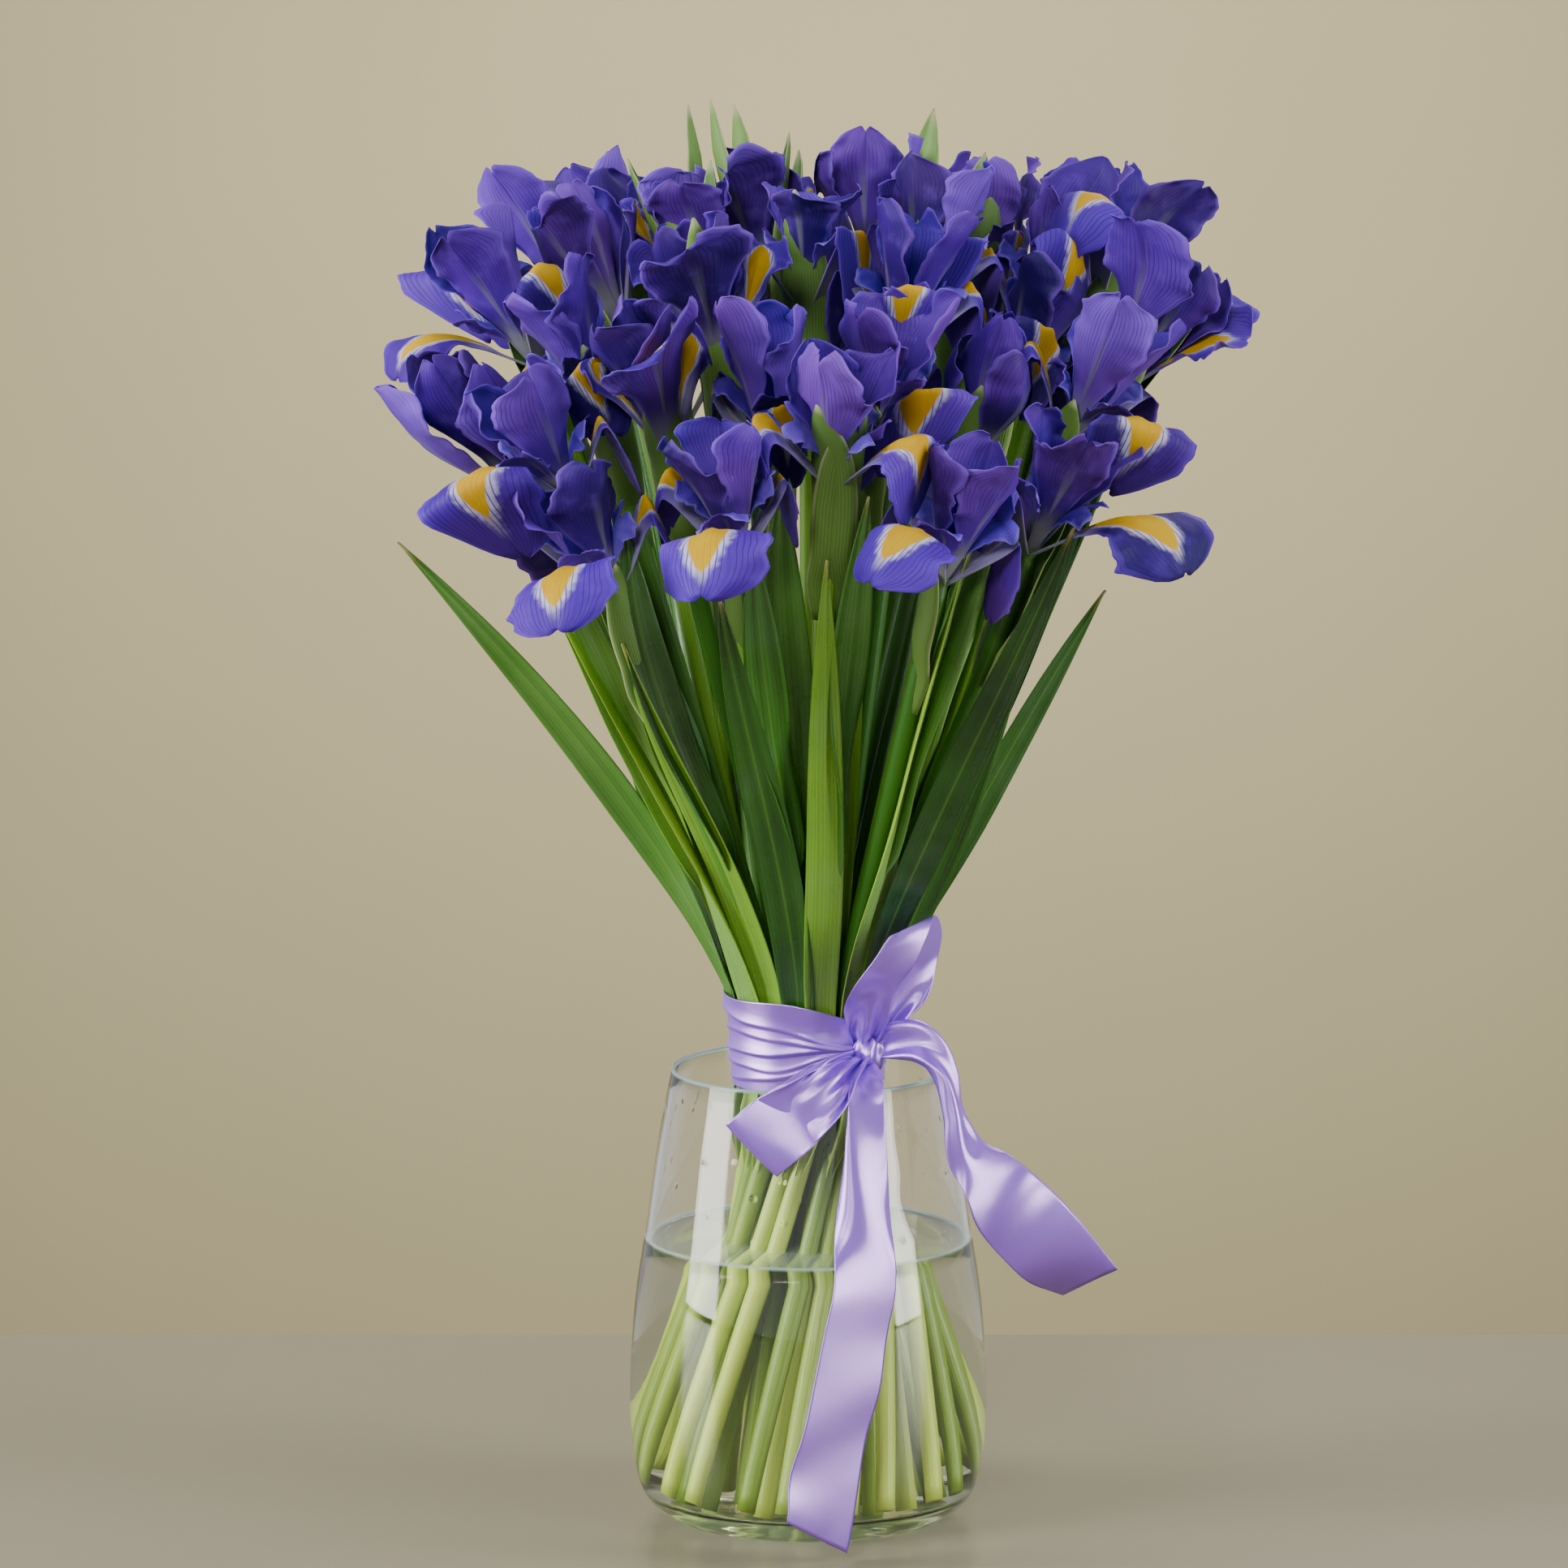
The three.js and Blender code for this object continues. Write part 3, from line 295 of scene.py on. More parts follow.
# ---- building meshes
class Builder:
    """Collects grids of points into one mesh with UVs, a tone per petal and material numbers."""

    def __init__(self):
        self.points, self.uvs, self.tones = [], [], []
        self.faces, self.materials, self.count = [], [], 0

    def add_points(self, points, uvs, tone):
        start = self.count
        points = np.asarray(points, float).reshape(-1, 3)
        self.points.append(points)
        self.uvs.append(np.asarray(uvs, float).reshape(-1, 2))
        self.tones.append(np.full(len(points), tone, float))
        self.count += len(points)
        return start

    def add_faces(self, quads, material):
        self.faces.extend(map(tuple, quads))
        self.materials.extend([material] * len(quads))

    def grid(self, points, uvs, tone, material, close=False, flip=False):
        rows, columns = points.shape[:2]
        start = self.add_points(points, uvs, tone)
        index = start + np.arange(rows * columns).reshape(rows, columns)
        if close:
            index = np.hstack([index, index[:, :1]])
        a, b, c, d = index[:-1, :-1], index[:-1, 1:], index[1:, 1:], index[1:, :-1]
        quads = np.stack([a, b, c, d] if not flip else [a, d, c, b], axis=-1).reshape(-1, 4)
        self.add_faces(quads.tolist(), material)
        return index

    def sheet(self, points, uvs, tone, half, front, back):
        """Two faces of a thin blade, with its rim. half is half the thickness at each point."""
        along = np.gradient(points, axis=0)
        across = np.gradient(points, axis=1)
        normal = unit(np.cross(across, along))
        top = self.grid(points + normal * half[..., None], uvs, tone, front)
        low = self.grid(points - normal * half[..., None], uvs, tone, back, flip=True)
        a, b = (np.concatenate([i[0, :-1], i[:-1, -1], i[-1, :0:-1], i[:0:-1, 0]]) for i in (top, low))
        quads = np.stack([a, b, np.roll(b, -1), np.roll(a, -1)], axis=-1)
        self.add_faces(quads.tolist(), front)

    def fan(self, ring, centre, uv, tone, material, flip=False):
        middle = self.add_points([centre], [uv], tone)
        for a, b in zip(ring.tolist(), np.roll(ring, -1).tolist()):
            self.faces.append((b, a, middle) if flip else (a, b, middle))
            self.materials.append(material)

    def make(self, name, materials):
        mesh = bpy.data.meshes.new(name)
        points = np.concatenate(self.points) * MM
        mesh.from_pydata(points.tolist(), [], self.faces)
        for material in materials:
            mesh.materials.append(material)
        mesh.polygons.foreach_set('material_index', self.materials)
        mesh.polygons.foreach_set('use_smooth', [True] * len(self.faces))
        corners = np.zeros(len(mesh.loops), int)
        mesh.loops.foreach_get('vertex_index', corners)
        uv = mesh.uv_layers.new(name='UVMap')
        uv.data.foreach_set('uv', np.concatenate(self.uvs)[corners].ravel())
        tone = mesh.attributes.new('tone', 'FLOAT', 'POINT')
        tone.data.foreach_set('value', np.concatenate(self.tones))
        mesh.update()
        return add_object(name, mesh)


# ---- flowers
class Flower:
    """A bloom and its stem: where the stem stands in the tie, how it runs, and the bloom's room."""

    def __init__(self, index, row):
        self.index = index
        self.ring, self.azimuth, self.kind, x, y, z, self.face, self.reach = row
        self.centre = vec(x, y, z)
        self.axis = unit(vec(x, y, AXIS_RISE))
        self.base = self.centre - CROWN * self.axis
        self.in_tie = self.place_in_tie()

    def place_in_tie(self):
        if self.ring == 0:
            return vec(*MIDDLE_STEM)
        radius = self.ring * RING_STEP
        step = OUTER_STEP if self.ring == 3 else 60 / self.ring
        cluster = next(c for c in STEM_CLUSTERS if (self.ring, self.azimuth) in c)
        partner = next(c for c in cluster if c[0] == self.ring and c[1] != self.azimuth)
        half = math.degrees(math.asin(PAIR_DISTANCE / 2 / radius))
        towards = math.copysign(1, partner[1] - self.azimuth)
        return compass(self.azimuth + towards * (step / 2 - half)) * radius

    def bundle_point(self, z):
        """Where the stem would be at a height if it only followed the bundle."""
        below = ramp(WAIST - z, WAIST_SOFT)
        opened = 1 + FAN * ramp(z - TIE_TOP, TIE_SOFT) + OPENING * below
        turned = -SPIRAL * below
        x, y = self.in_tie[:2]
        return vec(opened * x - turned * y, turned * x + opened * y, z)

    def stem_point(self, z):
        bent = smooth((z - TIE_TOP) / (self.base[2] - TIE_TOP))
        return self.bundle_point(z) + (self.base - self.bundle_point(self.base[2])) * bent

    def frame(self, azimuth):
        out = compass(azimuth)
        out = unit(out - self.axis * out.dot(self.axis))
        return out, np.cross(self.axis, out)

    def meet(self, flowers):
        """Notes how near the neighbours are, each as a direction over the room towards it."""
        self.neighbours = []
        for other in flowers:
            if other is self:
                continue
            way = other.centre - self.centre
            distance = np.linalg.norm(way)
            room = distance / 2 - PRESS_MARGIN + (SHARE[self.kind] - SHARE[other.kind]) / 2
            self.neighbours.append(way / distance / room)
        self.neighbours = np.array(self.neighbours)

    def pressed(self, points, swell=1.0, hang=0.0):
        """Points of a petal, kept to the bloom's own room among its neighbours."""
        rel = (points - self.centre) * swell
        crowding = np.maximum(0, rel @ self.neighbours.T / swell ** 0.6)
        strain = np.sum(crowding ** PRESS_POWER, axis=-1)
        share = ((1 + strain) ** (-1 / PRESS_POWER))[..., None]
        if np.ndim(hang) == 0:
            return self.centre + rel * share
        # a fall with no room to spread hangs down by nearly all that it loses
        height = np.sum(rel * self.axis, axis=-1, keepdims=True)
        spread = rel - self.axis * height
        lost = np.linalg.norm(spread, axis=-1, keepdims=True) * (1 - share)
        hung = spread * share + self.axis * (height - lost * 0.95)
        return self.centre + mix(rel * share, hung, hang)


flowers = [Flower(i, row) for i, row in enumerate(FLOWERS)]
for flower in flowers:
    flower.meet(flowers)


class Petal:
    """One petal of a bloom: its spine, and points on it by position along and across."""

    def __init__(self, flower, form, number):
        self.flower, self.form = flower, form
        standard = form['layer'] == 'standard'
        self.seed = flower.index * 31 + number * 5 + (17 if standard else 0)
        facing = flower.face + (60 if standard else 0) + 120 * number + 6 * draw(self.seed)
        self.out, self.side = flower.frame(facing)
        self.twist = 0.15 * draw(self.seed + 4)
        self.droop, self.scale = 1.0, 1.0
        self.set_spine()
        while self.folded() and self.droop > 0.3:
            self.droop -= 0.1
            self.set_spine()
        fall = form['fine'] == 'fall'
        if fall and flower.kind == 'open':  # the finer sheet hangs lower
            self.droop = min(1.0, self.droop + 0.6)
        if fall and abs(self.out[0]) > 0.75 and self.out[0] * flower.centre[0] > 0:
            self.twist += 0.55 * math.copysign(1, self.out[0])  # a side fall turns its face forwards
        if flower.reach > LONG_VALVES:
            self.scale = 0.88
        # what the plain solid leaves out: each petal has its own lean, length and turn
        self.twist += 0.28 * draw(self.seed + 21)
        self.scale *= 1 + 0.07 * draw(self.seed + 22)
        if form['fine'] == 'standard':
            self.twist += 0.2 * draw(self.seed + 23)
        self.set_spine()
        while fall and self.scale > SHORTEST_FALL and self.out_of_limits():
            self.scale -= 0.03
            self.set_spine()

    def set_spine(self):
        form = self.form
        haft = form['haft'] + 3 * draw(self.seed + 1)
        tip = mix(form['haft'], form['tip'], self.droop) + 10 * draw(self.seed + 2)
        step = form['length'] * (1 + 0.06 * draw(self.seed + 3)) * self.scale / SPINE_STEPS
        out, up = form['start']
        spine = []
        for i in range(SPINE_STEPS + 1):
            bent = float(rise(i / SPINE_STEPS, form['bend'], 1 - form['bend']))
            angle = math.radians(mix(haft, tip, bent))
            spine.append((out, up, angle))
            out += math.sin(angle) * step
            up += math.cos(angle) * step
        self.spine = np.array(spine)

    def out_of_limits(self):
        return not FALL_LIMITS[0] < self.tip()[0, 0, 0] < FALL_LIMITS[1]

    def tip(self):
        return self.points(np.ones((1, 1)), np.zeros((1, 1)), np.zeros((1, 1)))

    def points(self, t, u, widths, lift=0.0, swell=1.0, hang=0.0):
        position = np.linspace(0, 1, len(self.spine))
        out, up, angle = (np.interp(t, position, self.spine[:, k])[..., None] for k in range(3))
        flower = self.flower
        centre = flower.base + self.out * out + flower.axis * up
        along = self.out * np.sin(angle) + flower.axis * np.cos(angle)
        side = turn_about(np.broadcast_to(self.side, along.shape), along,
                          (self.form['spin'] + self.twist * t)[..., None])
        plain = rolled(centre, side, np.cross(along, side), widths, self.form['wrap'], u, lift)
        return flower.pressed(plain, swell, hang)

    def folded(self):
        rows = self.form['rows']
        t, u = np.meshgrid(rows, (-1.0, 0.0, 1.0), indexing='ij')
        t = np.round(t * SPINE_STEPS) / SPINE_STEPS
        net = self.points(t, u, look_up(self.form['widths'], np.array(rows))[:, None] * np.ones(3))
        net = np.concatenate([net, np.repeat(self.tip(), 3, axis=1)])
        steps = np.diff(net, axis=0)
        lengths = np.linalg.norm(steps, axis=-1)
        cosines = np.sum(steps[1:] * steps[:-1], axis=-1) / (lengths[1:] * lengths[:-1])
        return bool((lengths < MIN_STEP).any() or (np.arccos(np.clip(cosines, -1, 1)) > MAX_BEND).any())


def settled(points, seed):
    """The highest parts of the petals, brought a little lower, so that the long valves overtop them."""
    z = points[..., 2]
    lower = np.array(points, float)
    share = 0.72 + 0.26 * draw(seed)
    lower[..., 2] = np.where(z > HIGH_TIPS, HIGH_TIPS + (z - HIGH_TIPS) * share, z)
    return lower


def tip_notch(fine, t, u):
    """How far the middle of a petal's tip falls short of its sides."""
    if fine == 'style':  # the crest is cleft in two
        return 0.2 * (1 - np.abs(u)) ** 1.3 * rise(t, 0.65, 0.35)
    if fine == 'standard':
        return 0.035 * hump(u, 0.35) * rise(t, 0.8, 0.2)
    if fine == 'fall':
        return 0.02 * hump(u, 0.25) * rise(t, 0.9, 0.1)
    return 0.0


def relief(fine, t, u, seed):
    """How far a petal stands out of its plain form: ruffled edges, puckers, folds and ribs."""
    sign, off = np.sign(u), np.abs(u)
    waves = 2.2 + 0.7 * draw(seed + 3)
    edge = off ** 2.4 * rise(t, 0.4, 0.25)
    lift = RUFFLE[fine] * edge * np.sin(TAU * (waves * t + 0.18 * u) + 3 * draw(seed + 4) + sign * 1.1)
    lift += 1.0 * edge * np.sin(TAU * waves * 2.3 * t + 5 * draw(seed + 5) - 2 * sign)
    lift += 0.5 * edge * np.sin(TAU * waves * 4.1 * t + 9 * draw(seed + 12) + 1.3 * u)
    # shallow puckers between the veins, and a slow bend
    pucker = np.sin(11 * u + 6 * t + seed) * np.sin(19 * t + 3 * u + 5 * draw(seed + 13))
    lift += 0.42 * pucker * rise(t, 0.4, 0.3)
    lift += 0.72 * np.sin(3 * u + 4 * t + 3 * draw(seed + 6)) * rise(t, 0.45, 0.4)
    if fine == 'standard':
        lift += (2.6 + 1.2 * draw(seed + 9)) * off * rise(t, 0.3, 0.35)
        lift += 1.6 * draw(seed + 10) * u * rise(t, 0.5, 0.4)
    if fine == 'cup':
        lift += 1.4 * np.sin(3.2 * u + seed) * rise(t, 0.3, 0.3)
    if fine == 'fall':  # the signal's ridge, and the raised sides of the haft
        lift += 1.1 * hump(u, 0.13) * rise(t, 0.2, 0.15) * (1 - rise(t, 0.62, 0.16))
        lift += 0.9 * off ** 1.5 * smooth((0.5 - t) / 0.2)
    return lift


def add_petal(body, petal):
    fine = petal.form['fine']
    rows, columns = GRIDS[fine]
    t, u = np.meshgrid(np.linspace(0, 1, rows) ** 0.92, np.linspace(-1, 1, columns), indexing='ij')
    seed = petal.seed + 40
    uneven = 1 + 0.05 * draw(seed + 1) + 0.025 * np.sin(9 * t + 3 * draw(seed + 2)) * rise(t, 0.5, 0.2)
    frill = (0.035 * np.sin(TAU * (5.5 + draw(seed + 8)) * t + 2 * np.sign(u))
             + 0.025 * np.sin(71 * t + 5 * np.sign(u) + seed))
    widths = curve(FINE[fine], t) * uneven * (1 + frill * np.abs(u) ** 3 * rise(t, 0.5, 0.2))
    fuller = 1 + 0.08 * rise(t, 0.3, 0.4)[..., None]
    hang = rise(t, 0.3, 0.35)[..., None] if fine == 'fall' else 0.0
    points = petal.points(t - tip_notch(fine, t, u), u, widths, relief(fine, t, u, seed), fuller, hang)
    half = 0.26 - 0.1 * np.abs(u) + 0.35 * (1 - smooth(t / 0.5))
    face = FACE_SLOT[fine]
    body.sheet(settled(points, seed + 11), uv_grid(u * 0.5 + 0.5, t), tone_of(seed + 7), half, face + 1, face)


def add_tube(body, points, radii, material, tone, sides, v=None):
    """A round tube through points, with flat ends."""
    along = unit(np.gradient(points, axis=0))
    across = unit(np.cross(along, vec(1, 0, 0)) + 1e-6)
    other = np.cross(along, across)
    angles = round_angles(sides)
    rings = (points[:, None, :] + (across[:, None, :] * np.cos(angles)[None, :, None]
             + other[:, None, :] * np.sin(angles)[None, :, None]) * radii[:, None, None])
    v = np.linspace(0, 1, len(points)) if v is None else v
    index = body.grid(rings, uv_grid(angles / TAU, v[:, None]), tone, material, close=True, flip=True)
    body.fan(index[0, :-1], points[0], (0.5, v[0]), tone, material, flip=False)
    body.fan(index[-1, :-1], points[-1], (0.5, v[-1]), tone, material, flip=True)


def make_bloom(flower, materials):
    body = Builder()
    for form in PETALS[flower.kind]:
        for number in range(3):
            add_petal(body, Petal(flower, form, number))
    tube = flower.base + flower.axis * np.array([-1.5, 1, 4, 8, 12, 15])[:, None]
    add_tube(body, tube, np.array([3.9, 3.9, 3.6, 3.2, 2.2, 0.6]), STEM_SLOT, 0.5, 12)
    return body.make(f'bloom_{flower.index + 1:02d}_petals', materials)


# ---- stems, leaves and valves
def tied(points):
    """Drawn in to where the band holds the bundle."""
    z = points[..., 2]
    room = (look_up(BAND_RADII, z) - 0.5 + 3 * np.maximum(0, z - BAND_HIGH - 2)
            + 3 * np.maximum(0, BAND_LOW - 4 - z))
    radius = np.linalg.norm(points[..., :2], axis=-1)
    held = np.array(points, float)
    held[..., :2] *= np.minimum(1, room / np.maximum(radius, 1e-6))[..., None]
    return held


def add_stem(body, flower):
    far = math.hypot(*flower.bundle_point(STEM_FOOT)[:2]) + STEM_RADIUS
    bottom = float(look_up(VASE_INSIDE[:4:-1], far)) + STEM_LIFT  # on the floor, or on its rounded edge
    top = flower.base[2]
    heights = np.concatenate([np.arange(bottom, top - 4, 7.0), [top]])
    points = np.array([flower.stem_point(z) for z in heights])
    radii = 4.15 + 0.12 * np.sin(heights / 23 + flower.index)
    radii = radii + 0.9 * hump(heights - (top - 14), 9) - 0.3 * hump(heights - top, 4)  # a swollen neck
    add_tube(body, points, radii, 0, tone_of(flower.index * 3 + 900), 14, heights / 600)


def higher(flower, leaf):
    """How much higher a leaf's tip is than the plain solid's."""
    if leaf['splay'] > WIDE_SPLAY:
        return 0
    if leaf['turn'] < SIDE_TURN:
        return 18
    if flower.centre[1] > 0:
        return 70
    return 60 if leaf['turn'] == SIDE_TURN else 36


def add_leaf(body, flower, leaf, seed):
    rows, columns = 34, 9
    t, u = np.linspace(0, 1, rows), np.linspace(-1, 1, columns)
    wave = 0.5 * draw(seed + 9)
    tip = leaf['tip'] + higher(flower, leaf)
    broad = 1.2 if leaf['turn'] == SIDE_TURN else 1.0
    grid = []
    for k in t:
        z = mix(leaf['root'], tip, k)
        on = flower.stem_point(z)
        along = unit(flower.stem_point(z + 1) - on)
        outward = turn_about(unit(vec(on[0], on[1], 0) + 1e-9), UP, leaf['turn'])
        side = unit(np.cross(outward, along))
        inward = np.cross(along, side)
        clear = mix(1.5, STEM_RADIUS + 1.3, float(smooth(k / 0.12)))
        stand = clear + leaf['stand'] * k ** 2 + leaf['splay'] * k ** 3
        on = on + outward * stand + side * leaf['sway'] * k ** 2
        turn = leaf['face'] * rise(k, 0.25, 0.4) + 0.25 * wave * math.sin(7 * k + seed)
        side, inward = turn_about(side, along, turn), turn_about(inward, along, turn)
        wrap = mix(1.9, 0.55, float(smooth(k / 0.4)))
        keel = -1.2 * (1 - hump(u, 0.2)) * rise(k, 0.25, 0.2)
        sway = 1.6 * math.sin(5.5 * k + seed * 1.7) * float(rise(k, 0.35, 0.3))
        grid.append(rolled(on, side, inward, float(curve(LEAF, k)) * broad, wrap, u, keel + sway))
    half = np.tile(0.42 - 0.22 * np.abs(u), (rows, 1))
    body.sheet(tied(np.array(grid)), uv_grid(u * 0.5 + 0.5, t[:, None]), tone_of(seed + 12), half, 1, 2)


def leaves_of(flower):
    seed = flower.index * 7
    low = dict(root=155, tip=420 + 30 * draw(seed + 1), turn=0.1 * draw(seed + 2),
               stand=8 + 6 * draw(seed + 3), splay=SPLAY.get(flower.azimuth, 0),
               sway=12 * draw(seed + 4), face=0.9 * draw(seed + 8))
    if abs(flower.azimuth) in (70, 90):  # these lie out to the sides, their faces to the front
        low['face'] = math.copysign(1.05, -flower.azimuth)
    high = dict(root=290 + 10 * draw(seed + 5), tip=440 + 30 * draw(seed + 6), turn=HIGH_TURN,
                stand=10 + 6 * draw(seed + 1), splay=0, sway=8 * draw(seed + 3), face=0.9 * draw(seed + 58))
    if flower.ring == 3:
        return [low, high]
    if flower.ring == 2 and flower.azimuth % 60 == 0:
        return [dict(high, turn=SIDE_TURN)]
    return []


def valve_size(flower, number):
    """How far a valve reaches from the stem's end, and how broad it is."""
    index, reach = flower.index, flower.reach
    end = reach * (0.72 if number and index != BROADEST_VALVES else 1)
    end += 26 if reach > LONG_VALVES else 22 if reach >= 40 else 0
    if index in TOP_VALVES:
        end += 24
    if index in FRONT_VALVES:
        end += 14
    if reach > LONG_VALVES or index in BROAD_VALVES:
        return end, 1.5
    return end, 1.75 if index == BROADEST_VALVES else 1.3


def add_valve(body, flower, azimuth, number):
    end, broad = valve_size(flower, number)
    out, side = flower.frame(azimuth)
    rows, columns = 20, 9
    t, u = np.linspace(0, 1, rows), np.linspace(-1, 1, columns)
    seed = flower.index * 13 + number * 5
    grid = []
    for k in t:
        reach = mix(VALVE_ROOT, end, k)
        if reach < 0:
            on = flower.stem_point(flower.base[2] + reach * 0.92)
        else:
            on = flower.base + flower.axis * reach
        on = on + out * look_up(VALVE_OFFSETS, reach) + side * 2.5 * draw(seed) * k * k
        bow = 1.2 * math.sin(6 * k + seed) * k
        grid.append(rolled(on, side, -out, float(curve(VALVE, k)) * broad, mix(1.35, 0.85, k), u, bow))
    half = np.tile(0.34 - 0.2 * np.abs(u), (rows, 1))
    body.sheet(np.array(grid), uv_grid(u * 0.5 + 0.5, t[:, None]), tone_of(seed + 3), half, 3, 4)


def make_greenery(number, cluster, materials):
    body = Builder()
    for place in cluster:
        flower = next(f for f in flowers if (f.ring, f.azimuth) == place)
        add_stem(body, flower)
        for k, leaf in enumerate(leaves_of(flower)):
            add_leaf(body, flower, leaf, flower.index * 7 + 50 * k)
        outer = flower.face + (60 if flower.index % 2 else -60)
        facings = [outer] if flower.reach < 40 else [outer, outer + 180]
        for k, facing in enumerate(FRONT_VALVES.get(flower.index, facings)):
            add_valve(body, flower, facing, k)
    return body.make(f'greenery_{number:02d}', materials)


# ---- vase, water and ribbon
def turned(name, profile, material, sides=144):
    """A solid of revolution from (radius, height) rows that start and end on the axis."""
    body = Builder()
    profile = np.array(profile, float)
    inner = profile[1:-1]
    angles = round_angles(sides)
    rings = np.stack([inner[:, :1] * np.cos(angles), inner[:, :1] * np.sin(angles),
                      np.broadcast_to(inner[:, 1:], (len(inner), sides))], axis=-1)
    uvs = uv_grid(angles / TAU, run_along(inner)[:, None] / 100)
    index = body.grid(rings, uvs, 0.5, 0, close=True, flip=False)
    body.fan(index[0, :-1], (0, 0, profile[0, 1]), (0.5, 0), 0.5, 0, flip=True)
    body.fan(index[-1, :-1], (0, 0, profile[-1, 1]), (0.5, 1), 0.5, 0, flip=False)
    return body.make(name, [material])


def eased(rows, steps=5):
    """A profile through the rows, rounded between them."""
    return through(rows, (len(rows) - 1) * steps + 1)


def make_vase(material):
    foot = [(0, 1.4), (30, 1.3), (50, 0.9), (55, 0.0)]
    lip = [(62.0, 205.2), (61.6, 205.85), (61.2, 206.0), (60.8, 205.85), (60.4, 205.3)]
    floor = [(40, 8.6), (20, 8.4), (0, 8.4)]
    profile = foot + eased(VASE_OUTSIDE).tolist() + lip + eased(VASE_INSIDE).tolist() + floor
    return turned('vase_glass', profile, material)


def make_water(material):
    """The water, which reaches a little into the glass so that no air shows between them."""
    overlap, floor, corner = 0.5, 8.4, 13
    upwards = VASE_INSIDE[::-1]
    wall = [(r + overlap, z - (overlap if z < corner else 0))
            for r, z in eased(upwards) if z < WATER_LEVEL - 3]
    brim = float(np.interp(WATER_LEVEL, [z for _, z in upwards], [r for r, _ in upwards]))
    meniscus = [(brim + r, WATER_LEVEL + z)
                for r, z in [(overlap, 1.6), (-0.2, 1.4), (-0.8, 0.7), (-2, 0.15), (-5, 0)]]
    profile = ([(0, floor - overlap), (30, floor - overlap)] + wall + meniscus
               + [(40, WATER_LEVEL), (0, WATER_LEVEL)])
    return turned('water_body', profile, material)


def make_strip(name, rows, material, gathers, seed, back=1, swing=1.0, dimple=0.0, slant=0.0):
    """A length of ribbon. Where it is narrower than its cut, its edges curl to the back and soft
    pleats run in from the knot."""
    steps, columns = 120, 33
    body = Builder()
    rows = np.array(rows, float)
    points = through(rows[:, :3], steps)
    widths = through(rows[:, 3], steps)[:, None]
    across = unit(through(unit(rows[:, 4:]), steps))
    along = unit(np.gradient(points, axis=0))
    normal = np.cross(across, along)
    length = run_along(points)
    run = length[:, None]
    u = np.linspace(-1, 1, columns)[None, :]
    ratio = np.clip(RIBBON_WIDTH / widths, 1, 3.2)
    bends = np.linspace(0.05, 1.55, 60)
    bend = np.where(ratio < 1.55, np.interp(ratio, bends / np.sin(bends), bends), np.minimum(ratio, 2.3))
    sideways = np.sin(bend * u) / np.where(bend < 1.5708, np.sin(bend), 1)
    curl = (1 - np.cos(bend * u)) / bend * widths * 0.42 * back * rise(ratio, 1.12, 0.5)
    phase = 0.6 * draw(seed) + run / 60 * draw(seed + 1)
    pleat = 1.9 * rise(ratio, 1.25, 0.7) * np.cos(math.pi * gathers * u + phase * math.pi)
    wave = np.sin(run / 8.5 + 3 * draw(seed + 2) + 0.5 * u) + 0.5 * u * np.sin(run / 6.1 + seed)
    wave = swing * rise(widths, 22, 12) * wave
    dent = -back * dimple * hump(run - 26, 9) * hump(u, 0.4)
    grid = (points[:, None, :] + across[:, None, :] * (widths / 2 * sideways)[..., None]
            + normal[:, None, :] * (pleat + curl + wave - dent)[..., None])
    # the cut end runs aslant, and its longer corner curls out
    ending = rise(run / length[-1], 0.8, 0.2)
    corner = ending * rise(u, -0.1, 1.1)
    grid = grid + along[:, None, :] * (slant * u * ending)[..., None]
    curled = (0.32 * abs(slant) * corner ** 3)[..., None]
    grid = grid + (across[:, None, :] * 0.6 - normal[:, None, :]) * curled
    body.sheet(grid, uv_grid(u * 0.5 + 0.5, run / RIBBON_WIDTH), 0.5 + 0.3 * draw(seed + 5),
               np.full(grid.shape[:2], RIBBON_HALF), 0, 0)
    return body.make(name, [material]), float(length[-1])


def make_band(material):
    """The band round the stems, its creases running together at the knot."""
    body = Builder()
    around, rows = 240, 71
    height = np.linspace(0, 1, rows)
    h, a = np.meshgrid(height, round_angles(around), indexing='ij')
    knot = math.atan2(KNOT_CENTRE[1], KNOT_CENTRE[0])
    away = np.abs((a - knot + math.pi) % TAU - math.pi)
    near = 1 - smooth(away / 1.5)
    low = BAND_LOW + 1.2 * np.sin(a * 2 + 1) + 9 * near ** 2
    high = BAND_HIGH + 0.8 * np.sin(a * 3) - 8 * near ** 2
    z = mix(low, high, h)
    radius = look_up(BAND_RADII, z) + 0.6
    for k, (place, depth, share) in enumerate(CREASES):
        line = mix(place + 0.035 * np.sin(a * 2 + k * 2.1) + 0.02 * np.sin(a * 5 + k), 0.5, 0.8 * near)
        d = h - line
        strength = share * depth * (0.45 + 0.55 * np.sin(a + k * 1.9) ** 2)
        # each crease is a soft roll with one sharp edge
        radius += strength * np.where(d > 0, np.exp(-d / 0.075), hump(d, 0.018))
    radius += 0.5 * np.sin(a * 11) * near
    grid = np.stack([radius * np.cos(a), radius * np.sin(a), z], axis=-1)
    grid = np.concatenate([grid, grid[:, :1]], axis=1)
    uv = uv_grid(height[:, None], np.linspace(0, 6, around + 1))
    body.sheet(grid, uv, 0.5, np.full(grid.shape[:2], RIBBON_HALF), 0, 0)
    return body.make('ribbon_band', [material])


